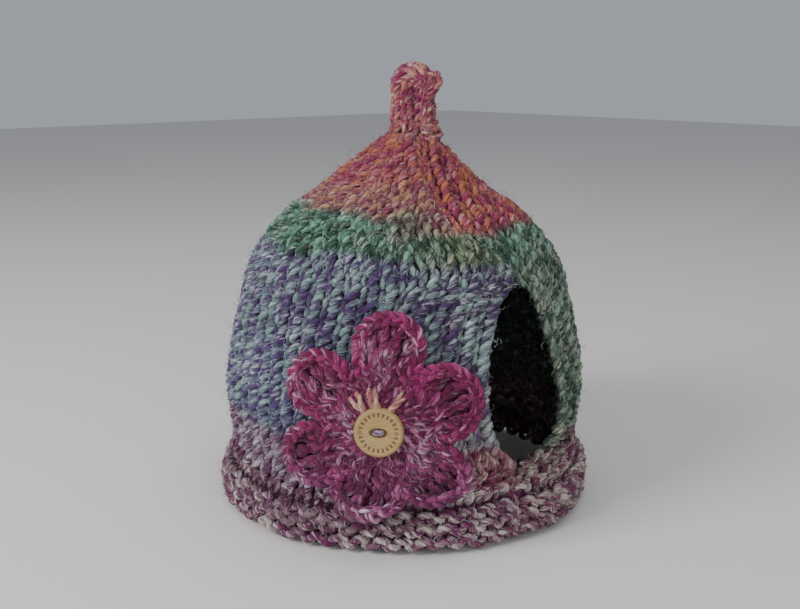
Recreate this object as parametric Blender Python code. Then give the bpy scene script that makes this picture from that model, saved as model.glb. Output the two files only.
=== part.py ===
"""A knitted tea cosy, hollow and open underneath, standing on its hem.

Two knitted panels meet along the sides, with a wide side opening at +X and a narrow one at -X.
A folded knitted cord stands on the crown. A crochet flower with a wooden button is sewn on the front.
The origin is the middle of the hem on the surface it stands on. The front panel faces -Y.
"""

import math

import bmesh
import bpy
import numpy as np
from mathutils import Matrix, Vector

MM = 0.001

# Lengths are in millimetres and angles in degrees. Every height is above the surface under the hem.

# Cloth
CLOTH_THICK = 6.0
HEM_THICK = 7.2
HEM_TOP = 26.0
HEM_FOOT_INNER = 81.0
HEM_FOOT_OUTER = 85.5
HEM_RIDGE_PITCH = 5.6
HEM_RIDGE_HEIGHT = 0.7
HEM_ROW_SHARE = 3.0
SEAM_GAP = 0.32
EDGE_ROUND = 6.0
EDGE_THIN = 0.45
LIP_LIFT = 2.2
LIP_REACH = 12.0
LIP_FULL_AT = 9.0
JOIN_UNDER = (26.0, 34.0)
JOIN_OVER = (113.0, 122.0)
CROWN_HOLE = 2.5
CROWN_HOLE_DEPTH = 3.4
CROWN_EDGE = 0.2
CROWN_LEAN = 2.4
CROWN_LEAN_FROM = 150.0
LEAN_DIRECTION = 48.0
DEFLECTION_REACH = 70.0

# height, radius of the outside of the cloth
PROFILE = (
    (0.0, 85.5),
    (1.5, 89.0),
    (6.0, 91.0),
    (14.0, 91.5),
    (21.5, 87.0),
    (29.0, 84.2),
    (44.0, 85.3),
    (58.0, 86.2),
    (78.0, 83.5),
    (98.0, 79.0),
    (112.0, 75.5),
    (125.0, 67.0),
    (137.0, 56.0),
    (146.0, 42.0),
    (154.0, 32.5),
    (162.0, 22.5),
    (168.0, 16.5),
    (170.5, 13.3),
    (172.2, 10.9),
)

# height, front edge of the wide side opening in degrees from +X, how far it is open in degrees
WIDE_SIDE = (
    (0.0, -8.0, 0.0),
    (24.0, -8.0, 0.0),
    (31.0, -5.0, 1.5),
    (36.0, -8.0, 16.0),
    (43.5, -13.0, 26.0),
    (55.0, -16.0, 30.0),
    (66.0, -17.0, 30.0),
    (83.0, -16.0, 27.0),
    (95.0, -13.5, 22.5),
    (107.0, -9.0, 15.5),
    (113.0, -2.5, 3.5),
    (116.0, -2.0, 0.0),
    (124.0, -6.0, 0.0),
    (135.0, -20.0, 0.0),
    (142.0, -23.0, 0.0),
    (172.2, -28.0, 0.0),
)

# height, half angle of the narrow side opening, in degrees from -X
NARROW_SIDE = (
    (0.0, 0.0),
    (42.0, 0.0),
    (47.0, 5.0),
    (56.0, 9.0),
    (72.0, 11.0),
    (90.0, 10.0),
    (104.0, 6.0),
    (110.0, 0.0),
    (172.2, 0.0),
)

PANEL_ROWS = 49
PANEL_COLUMNS = 28
EDGE_COLUMNS = (0.0, 0.2, 0.55)

# Topknot
KNOT_TOP = 205.0
KNOT_LEG = 5.3
KNOT_SPACING = 11.0
KNOT_CENTRE = 4.4
KNOT_DEPTH = 5.2
KNOT_WAIST = 3.7
KNOT_NUB = 1.9
KNOT_NUB_HEIGHT = 197.0
KNOT_FLARE = 1.6
KNOT_DOME = 8.5
KNOT_DOME_RINGS = 8
KNOT_RINGS = 22
KNOT_FOOT_SHARES = (0.92, 0.84, 0.76, 0.66, 0.5)
KNOT_FOOT_EASE = 0.15
KNOT_SIDES = 40

# Flower
FLOWER_ANGLE = -48.3
FLOWER_HEIGHT = 57.0
FLOWER_HUB = 21.0
FLOWER_THICK = 3.2
FLOWER_BED = 12.2
FLOWER_RIM = 3.2
FLOWER_RIM_WIDE = 3.0
FLOWER_POST = 1.3
FLOWER_POST_PITCH = 11.5
FLOWER_LIFT = 2.6
FLOWER_SIDES = 144
FLOWER_RINGS = 12
FLOWER_UNDER_RINGS = 5

# direction in degrees, reach from the centre, width
PETALS = (
    (84.0, 49.3, 30.8),
    (24.0, 44.0, 33.2),
    (-44.0, 44.4, 31.4),
    (-98.5, 40.0, 32.6),
    (204.4, 43.4, 29.6),
    (144.0, 44.7, 29.0),
)

# Button
BUTTON_DIAMETER = 21.0
BUTTON_THICK = 4.0
BUTTON_EDGE = 1.2
BUTTON_TILT = 6.0
BUTTON_HOLE = 2.0
BUTTON_HOLE_SPACING = 3.8
RECESS_LONG = 7.4
RECESS_WIDE = 3.8
RECESS_DEEP = 1.2
YARN_THICK = 1.4
REST_GAP = 0.3

COLOURS = {
    "front_panel": ((0.20, 0.17, 0.27), 0.95),
    "back_panel": ((0.12, 0.20, 0.17), 0.95),
    "topknot": ((0.45, 0.09, 0.16), 0.95),
    "flower": ((0.36, 0.04, 0.14), 0.95),
    "button": ((0.68, 0.50, 0.24), 0.55),
    "button_yarn": ((0.16, 0.06, 0.17), 0.95),
}


def clear_scene():
    for thing in list(bpy.data.objects):
        bpy.data.objects.remove(thing, do_unlink=True)


def material(name):
    colour, roughness = COLOURS[name]
    made = bpy.data.materials.new(name)
    made.use_nodes = True
    shader = made.node_tree.nodes["Principled BSDF"]
    shader.inputs["Base Color"].default_value = (*colour, 1.0)
    shader.inputs["Roughness"].default_value = roughness
    shader.inputs["Metallic"].default_value = 0.0
    made.diffuse_color = (*colour, 1.0)
    return made


def table(rows, column=1):
    """Slopes for a smooth curve through a table's rows that never overshoots them."""
    x = np.array([row[0] for row in rows])
    y = np.array([row[column] for row in rows])
    step = np.diff(y) / np.diff(x)
    slope = np.zeros(len(x))
    for i in range(1, len(x) - 1):
        if step[i - 1] * step[i] > 0:
            slope[i] = 2 * step[i - 1] * step[i] / (step[i - 1] + step[i])
    slope[0], slope[-1] = step[0], step[-1]
    return x, y, slope


def along(curve, at):
    x, y, slope = curve
    at = min(max(at, x[0]), x[-1])
    i = min(int(np.searchsorted(x, at, side="right")) - 1, len(x) - 2)
    wide = x[i + 1] - x[i]
    t = (at - x[i]) / wide
    return (
        y[i] * (1 + 2 * t) * (1 - t) ** 2
        + y[i + 1] * t * t * (3 - 2 * t)
        + wide * slope[i] * t * (1 - t) ** 2
        - wide * slope[i + 1] * t * t * (1 - t)
    )


def ease(low, high, at):
    t = min(max((at - low) / (high - low), 0.0), 1.0)
    return t * t * (3 - 2 * t)


RADIUS = table(PROFILE)
WIDE_FRONT = table(WIDE_SIDE, 1)
WIDE_OPEN = table(WIDE_SIDE, 2)
NARROW = table(NARROW_SIDE)
TOP = PROFILE[-1][0]


def slope_at(height):
    """How fast the outside widens with height."""
    step = 0.4
    low, high = max(height - step, 0.0), min(height + step, TOP)
    return (along(RADIUS, high) - along(RADIUS, low)) / (high - low)


def row_heights(count):
    """Heights spaced evenly along the outside, with closer rows down in the hem."""
    fine = np.linspace(0.0, TOP, 700)
    radius = np.array([along(RADIUS, z) for z in fine])
    weight = np.where(fine < HEM_TOP, HEM_ROW_SHARE, 1.0)
    steps = np.hypot(np.diff(fine), np.diff(radius)) * weight[1:]
    length = np.concatenate(([0.0], np.cumsum(steps)))
    return np.interp(np.linspace(0.0, length[-1], count), length, fine)


def unevenness(angle, height):
    """The soft dents and swells of hand knitting, and the waves of the hem."""
    cloth = 0.7 * math.sin(2 * angle + 0.02 * height + 0.6)
    cloth += 0.5 * math.sin(5 * angle - 0.05 * height + 2.1)
    hem = 1.1 * math.sin(4 * angle + 1.0) + 0.7 * math.sin(9 * angle + 0.4)
    low = 1 - ease(HEM_TOP - 8, HEM_TOP + 6, height)
    body = ease(HEM_TOP - 4, HEM_TOP + 14, height) * (1 - ease(130.0, 160.0, height))
    return cloth * body + hem * low * ease(0.0, 7.0, height)


def ridges(height):
    """The ridges of garter stitch along the hem."""
    if height > HEM_TOP - 2:
        return 0.0
    wave = math.cos(2 * math.pi * (height / HEM_RIDGE_PITCH - 0.6))
    return HEM_RIDGE_HEIGHT * wave * ease(0.0, 3.0, height)


def outside(angle, height):
    """The outer radius of the cloth."""
    return along(RADIUS, height) + unevenness(angle, height) + ridges(height)


def lean(height):
    """How far the crown leans off the axis."""
    far = CROWN_LEAN * ease(CROWN_LEAN_FROM, TOP, height)
    turn = math.radians(LEAN_DIRECTION)
    return far * math.cos(turn), far * math.sin(turn)


def bend(distance):
    """How much of an opening's width a stitch column still follows at an angle from it."""
    if distance >= DEFLECTION_REACH:
        return 0.0
    return 0.5 * (1 + math.cos(math.pi * distance / DEFLECTION_REACH))


def column_angle(share, height, front):
    """The angle of a stitch column. share runs from the wide side (0) to the narrow side (1)."""
    turn = 180.0 * share
    wide = -along(WIDE_FRONT, height) if front else along(WIDE_FRONT, height) + along(WIDE_OPEN, height)
    joined = ease(*JOIN_OVER, height) + 1 - ease(*JOIN_UNDER, height)
    reach = bend(turn) * (1 - joined) + (1 - share) * joined
    narrow = along(NARROW, height)
    angle = turn + wide * reach - narrow * bend(180.0 - turn)
    return math.radians(-angle if front else angle)


def thickness(height):
    return HEM_THICK + (CLOTH_THICK - HEM_THICK) * ease(HEM_TOP - 10, HEM_TOP + 4, height)


def half_open(height, wide):
    """Half of how far a side opening is open, in degrees."""
    return along(WIDE_OPEN, height) / 2 if wide else along(NARROW, height)


def cloth_points(share, height, front):
    """The outer and the inner point of a panel's cloth on one stitch column, as radius, height and angle."""
    angle = column_angle(share, height, front)
    radius = along(RADIUS, height)
    to_wide = abs(angle - column_angle(0.0, height, front)) * radius
    to_narrow = abs(angle - column_angle(1.0, height, front)) * radius
    edge = min(to_wide, to_narrow)
    thick = thickness(height)
    rounded = max(0.0, 1 - edge / EDGE_ROUND)
    thin = thick * EDGE_THIN * (1 - math.sqrt(1 - rounded * rounded)) / 2
    lip = min(half_open(height, to_wide < to_narrow) / LIP_FULL_AT, 1.0)
    skin = outside(angle, height) + LIP_LIFT * lip * max(0.0, 1 - edge / LIP_REACH) ** 2
    slope = slope_at(height)
    tilt = math.hypot(1.0, slope)
    if height == 0.0:
        return (HEM_FOOT_OUTER, 0.0, angle), (HEM_FOOT_INNER, 0.0, angle)
    outer = (skin - thin / tilt, height + thin * slope / tilt, angle)
    depth = thick - thin
    foot = 1 - ease(0.0, 6.0, height)
    inner_radius = (skin - depth / tilt) * (1 - foot) + HEM_FOOT_INNER * foot
    inner_height = height + depth * slope / tilt * (1 - foot)
    return outer, (max(inner_radius, CROWN_HOLE), inner_height, angle)


def panel_section(mesh, share, heights, front):
    """The closed loop of vertices around the cloth's section on one stitch column."""
    pairs = [cloth_points(share, height, front) for height in heights]
    leans = [lean(height) for height in heights]
    angle = column_angle(share, TOP, front)
    rim = [(CROWN_HOLE, TOP - drop, angle) for drop in (CROWN_EDGE, CROWN_HOLE_DEPTH)]
    loop = [(outer, far) for (outer, _), far in zip(pairs, leans)]
    loop += [(point, lean(TOP)) for point in rim]
    loop += [(inner, far) for (_, inner), far in list(zip(pairs, leans))[::2]][::-1]
    gap = SEAM_GAP / 2 * (2 * share - 1 if front else 1 - 2 * share)
    section = []
    for (radius, height, angle), (dx, dy) in loop:
        turn = angle + gap / radius
        spot = Vector((radius * math.cos(turn) + dx, radius * math.sin(turn) + dy, height))
        section.append(mesh.verts.new(spot * MM))
    return section


def close_edge(mesh, section, turned):
    """Closes a panel's side edge. The inside has one row for every two of the outside."""
    last = PANEL_ROWS - 1
    strips = [(last, last + 1, last + 3), (last + 1, last + 2, last + 3)]
    for k in range(0, last, 2):
        inner = len(section) - 1 - k // 2
        strips += [(k, k + 1, inner), (k + 1, inner - 1, inner), (k + 1, k + 2, inner - 1)]
    for strip in strips:
        corners = [section[i] for i in strip]
        mesh.faces.new(corners[::-1] if turned else corners)


def panel(name, front):
    heights = row_heights(PANEL_ROWS)
    heights[0] = 0.0
    columns = list(EDGE_COLUMNS) + list(range(1, PANEL_COLUMNS))
    columns += [PANEL_COLUMNS - column for column in reversed(EDGE_COLUMNS)]
    mesh = bmesh.new()
    sections = [panel_section(mesh, column / PANEL_COLUMNS, heights, front) for column in columns]
    join_loops(mesh, sections)
    close_edge(mesh, sections[0], True)
    close_edge(mesh, sections[-1], False)
    return finish(mesh, name, Matrix.Identity(4))


def join_loops(mesh, loops):
    """Faces between neighbouring loops of vertices."""
    count = len(loops[0])
    for first, second in zip(loops, loops[1:]):
        for i in range(count):
            j = (i + 1) % count
            mesh.faces.new((first[i], second[i], second[j], first[j]))


def finish(mesh, name, place):
    """Turns a bmesh in the part's frame into an object whose own frame is at place."""
    bmesh.ops.recalc_face_normals(mesh, faces=mesh.faces)
    bmesh.ops.transform(mesh, matrix=place.inverted(), verts=mesh.verts)
    data = bpy.data.meshes.new(name)
    mesh.to_mesh(data)
    mesh.free()
    made = bpy.data.objects.new(name, data)
    bpy.context.scene.collection.objects.link(made)
    made.matrix_world = place
    for face in data.polygons:
        face.use_smooth = True
    data.materials.append(material(name))
    return made


def crown_height(x, y):
    """The height of the crown's outside under a point, within the topknot's foot."""
    shift_x, shift_y = lean(TOP)
    far = math.hypot(x - shift_x, y - shift_y)
    if far <= PROFILE[-1][1]:
        return TOP
    for height in np.linspace(TOP, CROWN_LEAN_FROM, 120):
        dx, dy = lean(height)
        if along(RADIUS, height) >= math.hypot(x - dx, y - dy):
            return float(height)
    return CROWN_LEAN_FROM


def knot_radius(turn, height):
    """Half the topknot's width in a direction, as two round legs side by side."""
    across = KNOT_SPACING / 2
    leg = KNOT_LEG + 0.35 * math.sin(height * 0.42 + 1.0)
    depth = KNOT_DEPTH + 0.3 * math.sin(height * 0.3)
    dx, dy = math.cos(turn) / leg, math.sin(turn) / depth
    far = min(KNOT_WAIST / max(abs(math.sin(turn)), 0.01), across / max(abs(math.cos(turn)), 0.01))
    for centre in (-across / leg, across / leg):
        b = dx * centre
        root = b * b - (dx * dx + dy * dy) * (centre * centre - 1)
        if root >= 0:
            far = max(far, (b + math.sqrt(root)) / (dx * dx + dy * dy))
    bump = KNOT_NUB * math.exp(-(((height - KNOT_NUB_HEIGHT) / 3.6) ** 2)) * max(0.0, math.cos(turn)) ** 2
    return far + bump


def knot_levels():
    """Height, width as a share of the full width, and how far up the legs each ring is."""
    foot = TOP + REST_GAP
    dome = KNOT_TOP - KNOT_DOME
    for level in np.linspace(0.0, 1.0, KNOT_RINGS - KNOT_DOME_RINGS):
        yield foot + level * (dome - foot), 1.0, level
    for i in range(1, KNOT_DOME_RINGS):
        turn = math.radians(90 * i / KNOT_DOME_RINGS)
        yield dome + KNOT_DOME * math.sin(turn), math.cos(turn) ** 0.8, 1.0


def topknot():
    turn = math.radians(LEAN_DIRECTION)
    centre = Vector((KNOT_CENTRE * math.cos(turn), KNOT_CENTRE * math.sin(turn), TOP)) * MM
    place = Matrix.Translation(centre) @ Matrix.Rotation(turn, 4, "Z")
    mesh = bmesh.new()

    def ring(height, scale, flare):
        loop = []
        for i in range(KNOT_SIDES):
            way = 2 * math.pi * i / KNOT_SIDES
            far = (knot_radius(way, height) + flare) * scale
            spot = Vector((far * math.cos(way), far * math.sin(way), height - TOP))
            loop.append(mesh.verts.new(place @ (spot * MM)))
        return loop

    loops = []
    for height, scale, level in knot_levels():
        loops.append(ring(height, scale, KNOT_FLARE * (1 - ease(0.0, 0.22, level))))
    for vert in loops[0]:
        vert.co.z = (crown_height(vert.co.x / MM, vert.co.y / MM) + REST_GAP) * MM
    under = [loops[0]]
    for share in KNOT_FOOT_SHARES:
        inset = []
        for vert in loops[0]:
            spot = centre + (vert.co - centre) * share
            seat = crown_height(spot.x / MM, spot.y / MM) + REST_GAP + KNOT_FOOT_EASE
            inset.append(mesh.verts.new(Vector((spot.x, spot.y, seat * MM))))
        under.append(inset)
    join_loops(mesh, under[::-1] + loops[1:])
    mesh.faces.new(under[-1])
    mesh.faces.new(loops[-1])
    return finish(mesh, "topknot", place)


# The line that the flower lies on: height, radius. It bridges the crease above the hem.
FLOWER_BED_LINE = table(
    (
        (0.0, 92.9),
        (14.0, 92.9),
        (21.5, 90.4),
        (30.0, 88.0),
        (43.9, 87.3),
        (58.5, 87.4),
        (78.1, 84.8),
        (97.6, 80.6),
        (112.2, 77.2),
        (124.9, 69.0),
    )
)


def flower_point(across, up, lift):
    """A point on the flower: millimetres across and up from its centre, and out from the cloth."""
    at = FLOWER_HEIGHT + up
    slope = (along(FLOWER_BED_LINE, at + 1) - along(FLOWER_BED_LINE, at - 1)) / 2
    tilt = math.hypot(1.0, slope)
    height = FLOWER_HEIGHT + up / (0.35 + 0.65 * tilt)
    angle = math.radians(FLOWER_ANGLE) + across / along(FLOWER_BED_LINE, FLOWER_HEIGHT)
    radius = along(FLOWER_BED_LINE, height) + lift / tilt
    height -= lift * slope / tilt
    return Vector((radius * math.cos(angle), radius * math.sin(angle), height)) * MM


def petal_shapes():
    for direction, reach, width in PETALS:
        half = width / 2
        away = reach - half
        turn = math.radians(direction)
        yield turn, away * math.cos(turn), away * math.sin(turn), half, reach


def flower_reach(turn):
    """How far the flower's outline is from its centre in a direction."""
    far = FLOWER_HUB
    for _, cx, cy, half, _ in petal_shapes():
        b = cx * math.cos(turn) + cy * math.sin(turn)
        root = b * b - (cx * cx + cy * cy - half * half)
        if root > 0 and b > 0:
            far = max(far, b + math.sqrt(root))
    return far


def flower_height(across, up):
    """The height of the flower's face over its underside."""
    far = math.hypot(across, up)
    turn = math.atan2(up, across)
    best = 9.0
    for way, cx, cy, half, reach in petal_shapes():
        close = math.hypot(across - cx, up - cy) / half
        if close < best:
            best, best_way, best_half, best_reach = close, way, half, reach
    off = math.degrees(math.atan2(math.sin(turn - best_way), math.cos(turn - best_way)))
    outer = ease(17.0, 27.0, far)
    band = (1 - best) * best_half
    rim = FLOWER_RIM * math.exp(-(((band - FLOWER_RIM_WIDE) / FLOWER_RIM_WIDE) ** 2)) * outer
    posts = FLOWER_POST * (0.5 + 0.5 * math.cos(2 * math.pi * off / FLOWER_POST_PITCH))
    posts *= ease(FLOWER_BED, FLOWER_BED + 4, far) * (1 - ease(best_reach - 11, best_reach - 6, far))
    flat = 1 - ease(FLOWER_BED, FLOWER_BED + 4, far)
    tilted = -up * math.tan(math.radians(BUTTON_TILT))
    return FLOWER_THICK + tilted * flat + rim + posts


def flower():
    place = Matrix.Translation(flower_point(0.0, 0.0, 0.0)) @ button_turn()
    mesh = bmesh.new()
    turns = [2 * math.pi * i / FLOWER_SIDES for i in range(FLOWER_SIDES)]
    reaches = [flower_reach(turn) for turn in turns]
    beside = list(zip(reaches[-1:] + reaches[:-1], reaches, reaches[1:] + reaches[:1]))
    smooth = [(before + 2 * here + after) / 4 for before, here, after in beside]

    def ring(share, under):
        loop = []
        for turn, reach in zip(turns, smooth):
            far = reach * share
            across, up = far * math.cos(turn), far * math.sin(turn)
            raised = REST_GAP + FLOWER_LIFT * ease(18.0, 48.0, far)
            if not under:
                shoulder = 1 - max(0.0, (share - 0.9) / 0.1) ** 2 * 0.55
                raised += flower_height(across, up) * shoulder
            elif share > 0.9:
                raised += 1.0
            loop.append(mesh.verts.new(flower_point(across, up, raised)))
        return loop

    shares_over = [0.0] + list(np.linspace(0.17, 0.9, FLOWER_RINGS - 2)) + [0.97, 1.0]
    shares_under = [0.985] + list(np.linspace(0.88, 0.2, FLOWER_UNDER_RINGS)) + [0.0]
    loops = [ring(share, False) for share in shares_over[1:]]
    loops += [ring(share, True) for share in shares_under[:-1]]
    hub_over = mesh.verts.new(flower_point(0.0, 0.0, REST_GAP + flower_height(0.0, 0.0)))
    hub_under = mesh.verts.new(flower_point(0.0, 0.0, REST_GAP))
    join_loops(mesh, loops)
    for i in range(FLOWER_SIDES):
        j = (i + 1) % FLOWER_SIDES
        mesh.faces.new((hub_over, loops[0][j], loops[0][i]))
        mesh.faces.new((hub_under, loops[-1][i], loops[-1][j]))
    return finish(mesh, "flower", place)


def button_turn():
    """Turns the button's face, local +Z, out from the cloth and a little up."""
    out = Matrix.Rotation(math.radians(FLOWER_ANGLE + 90), 4, "Z")
    return out @ Matrix.Rotation(math.radians(90 - BUTTON_TILT), 4, "X")


def button_place():
    seat = flower_point(0.0, 0.0, REST_GAP + FLOWER_THICK)
    turned = button_turn()
    return Matrix.Translation(seat) @ turned @ Matrix.Translation((0.0, 0.0, REST_GAP * MM))


def button():
    radius = BUTTON_DIAMETER / 2
    outline = [(0.0, 0.0), (radius - BUTTON_EDGE, 0.0)]
    for i in range(1, 6):
        bow = math.radians(-90 + 180 * i / 6)
        across = radius - BUTTON_EDGE + BUTTON_EDGE * math.cos(bow)
        outline.append((across, BUTTON_THICK / 2 + BUTTON_THICK / 2 * math.sin(bow)))
    outline += [(radius - BUTTON_EDGE, BUTTON_THICK), (0.0, BUTTON_THICK)]
    mesh = bmesh.new()
    line = [mesh.verts.new((x * MM, 0.0, z * MM)) for x, z in outline]
    edges = [mesh.edges.new(pair) for pair in zip(line, line[1:])]
    bmesh.ops.spin(mesh, geom=line + edges, cent=(0, 0, 0), axis=(0, 0, 1), angle=2 * math.pi, steps=40)
    bmesh.ops.remove_doubles(mesh, verts=mesh.verts, dist=0.00001)
    bmesh.ops.recalc_face_normals(mesh, faces=mesh.faces)
    place = button_place()
    bmesh.ops.transform(mesh, matrix=place, verts=mesh.verts)
    made = finish(mesh, "button", place)
    for way in (-1, 1):
        cutter = helper_cylinder("hole_cutter", BUTTON_HOLE / 2, BUTTON_THICK * 2, 16)
        cutter.matrix_world = place @ Matrix.Translation((way * BUTTON_HOLE_SPACING / 2 * MM, 0.0, 0.0))
        cut(made, cutter)
    recess = helper_cylinder("recess_cutter", 0.5, 1.0, 28)
    stretch = Matrix.Diagonal((RECESS_LONG, RECESS_WIDE, 2 * RECESS_DEEP, 1.0))
    recess.matrix_world = place @ Matrix.Translation((0.0, 0.0, BUTTON_THICK * MM)) @ stretch
    cut(made, recess)
    return made


def helper_cylinder(name, radius, depth, sides):
    mesh = bmesh.new()
    bmesh.ops.create_cone(
        mesh, cap_ends=True, segments=sides, radius1=radius * MM, radius2=radius * MM, depth=depth * MM
    )
    data = bpy.data.meshes.new(name)
    mesh.to_mesh(data)
    mesh.free()
    made = bpy.data.objects.new(name, data)
    bpy.context.scene.collection.objects.link(made)
    made.hide_render = True
    made.display_type = "WIRE"
    return made


def cut(target, cutter):
    step = target.modifiers.new(cutter.name, "BOOLEAN")
    step.operation = "DIFFERENCE"
    step.solver = "EXACT"
    step.object = cutter


def button_yarn():
    """One strand up through a hole, over the bridge and down through the other."""
    half = BUTTON_HOLE_SPACING / 2
    bow = 0.9
    floor = BUTTON_THICK - RECESS_DEEP
    crest = floor + REST_GAP + YARN_THICK / 2
    path = [(half, 0.15), (half, 1.2), (half, 2.2)]
    for i in range(6):
        turn = math.radians(90 * i / 5)
        path.append((half - bow + bow * math.cos(turn), crest - bow + bow * math.sin(turn)))
    path += [(-x, z) for x, z in reversed(path)]
    place = button_place()
    mesh = bmesh.new()
    sides = 12
    loops = []
    for k, (x, z) in enumerate(path):
        before, after = path[max(k - 1, 0)], path[min(k + 1, len(path) - 1)]
        ahead = Vector((after[0] - before[0], 0.0, after[1] - before[1])).normalized()
        flat = ahead.cross(Vector((0.0, 1.0, 0.0))).normalized()
        loop = []
        for i in range(sides):
            turn = 2 * math.pi * i / sides
            around = flat * math.cos(turn) + Vector((0.0, 1.0, 0.0)) * math.sin(turn)
            spot = (Vector((x, 0.0, z)) + around * YARN_THICK / 2) * MM
            loop.append(mesh.verts.new(place @ spot))
        loops.append(loop)
    join_loops(mesh, loops)
    mesh.faces.new(loops[0])
    mesh.faces.new(loops[-1])
    return finish(mesh, "button_yarn", place)


clear_scene()
panel("front_panel", True)
panel("back_panel", False)
topknot()
flower()
button()
button_yarn()
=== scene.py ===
"""A hand-knitted tea cosy of two-ply yarn: its crochet flower, wooden button and knitted loop on top."""

import math

import bmesh
import bpy
import numpy as np
from mathutils import Matrix, Vector


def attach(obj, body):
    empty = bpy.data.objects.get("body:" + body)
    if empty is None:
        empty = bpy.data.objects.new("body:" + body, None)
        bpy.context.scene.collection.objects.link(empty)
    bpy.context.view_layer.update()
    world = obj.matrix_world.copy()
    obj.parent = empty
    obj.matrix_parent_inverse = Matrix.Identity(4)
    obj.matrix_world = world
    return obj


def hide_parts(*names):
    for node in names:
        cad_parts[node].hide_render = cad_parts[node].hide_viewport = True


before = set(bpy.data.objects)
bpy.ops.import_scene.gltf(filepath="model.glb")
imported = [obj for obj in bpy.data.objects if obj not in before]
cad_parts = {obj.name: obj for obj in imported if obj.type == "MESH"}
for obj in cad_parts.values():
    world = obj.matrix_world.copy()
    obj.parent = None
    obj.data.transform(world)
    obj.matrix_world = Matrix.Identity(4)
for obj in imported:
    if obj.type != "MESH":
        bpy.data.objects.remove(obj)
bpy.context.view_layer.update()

MM = 0.001

# Sizes of the cloth, in mm and degrees

# Height and radius of the cloth's outside.
PROFILE = (
    (0.0, 89.6),
    (3.0, 90.6),
    (6.0, 91.0),
    (14.0, 91.5),
    (21.5, 87.0),
    (29.0, 84.2),
    (44.0, 85.3),
    (58.0, 86.2),
    (78.0, 83.5),
    (98.0, 79.0),
    (112.0, 75.5),
    (125.0, 67.0),
    (137.0, 56.0),
    (146.0, 42.0),
    (154.0, 32.5),
    (162.0, 22.5),
    (168.0, 16.5),
    (170.5, 13.3),
    (172.2, 10.9),
)
TOP = 172.2
# The gathered end of the crown under the topknot: height and radius.
GATHER = ((172.6, 8.6), (172.8, 5.6), (172.9, 3.4))

# The wide side opening: height, its front edge in degrees from +X, and how far it is open.
WIDE_SIDE = (
    (0.0, -8.0, 0.0),
    (24.0, -8.0, 0.0),
    (31.0, -5.0, 1.5),
    (36.0, -8.0, 16.0),
    (43.5, -13.0, 26.0),
    (55.0, -16.0, 30.0),
    (66.0, -17.0, 30.0),
    (83.0, -16.0, 27.0),
    (95.0, -13.5, 22.5),
    (107.0, -9.0, 15.5),
    (113.0, -2.5, 3.5),
    (116.0, -2.0, 0.0),
    (124.0, -6.0, 0.0),
    (135.0, -20.0, 0.0),
    (142.0, -23.0, 0.0),
    (172.2, -28.0, 0.0),
)
# The narrow side opening: height and half its angle, either side of -X.
NARROW_SIDE = (
    (0.0, 0.0),
    (42.0, 0.0),
    (47.0, 5.0),
    (56.0, 9.0),
    (72.0, 11.0),
    (90.0, 10.0),
    (104.0, 6.0),
    (110.0, 0.0),
    (172.2, 0.0),
)
HEM_TOP = 26.0
HEM_THICK = 7.2
CLOTH_THICK = 6.0
# The lip along an opening: its lift, its reach, and the half opening in degrees that gives it in full.
LIP_LIFT = 2.2
LIP_REACH = 12.0
LIP_FULL_AT = 9.0
# How far the crown leans, from what height up, and which way.
CROWN_LEAN = 2.4
CROWN_LEAN_FROM = 150.0
LEAN_DIRECTION = 48.0
# Over how much height an opening's edge is smoothed for far columns, and within what turn columns follow it.
EDGE_SMOOTHING = 14.0
EDGE_REACH = 46.0

# Sizes of the yarn and its stitches

YARN_RADIUS = 1.98
EDGE_YARN_RADIUS = 1.6
SEAM_YARN_RADIUS = 1.75
# The length of one turn of the twist, and how much the plies' groove takes off the radius.
TURN_LENGTH = 9.5
PLY_DEPTH = 0.3
YARN_SIDES = 8
# Stitches across a panel, the width of one where there are fewer, and the points along each.
STITCHES = 28
STITCH_WIDE = 8.3
STEPS = 18
HEM_ROWS = 7
HEM_FIRST = 3.5
HEM_PITCH = 3.3
ROW_FIRST = 28.6
ROW_PITCH = 5.4
# Rows of a panel that its lower piece of yarn holds, hem and all.
LOWER_ROWS = 16
# A loop's form: how far it bows sideways as a share of its stitch, half its height, and its depths.
LOOP_BOW = 0.215
LOOP_HALF = 5.1
LOOP_DEPTH = 1.6
LEG_LIFT = 0.65
LEG_SLANT = 0.17
# A garter loop's half height and depth, and its bow and slant as shares of a plain loop's.
GARTER_HALF = 1.02 * HEM_PITCH
GARTER_DEPTH = 2.1
GARTER_BOW = 0.72
GARTER_SLANT = 0.5
CROWN_SECTORS = 4
EDGE_INSET = 1.2
# Edge stitches and seams: the steps along them, then from height, to height, and whether on the narrow side.
EDGE_STEP = 1.35
SEAM_STEP = 1.2
EDGE_RUNS = ((31.0, 116.0, False), (44.0, 109.0, True))
SEAM_RUNS = ((1.5, 28.0, False), (115.0, 171.0, False), (1.5, 43.0, True), (109.0, 171.0, True))
DECREASE_FROM = 126.0
# The panel's sheet of painted shade: points across and up, and half its thickness.
SHADE_SHEET_GRID = (56, 88)
SHADE_SHEET_HALF = 0.45


# Curves and easing


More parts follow.
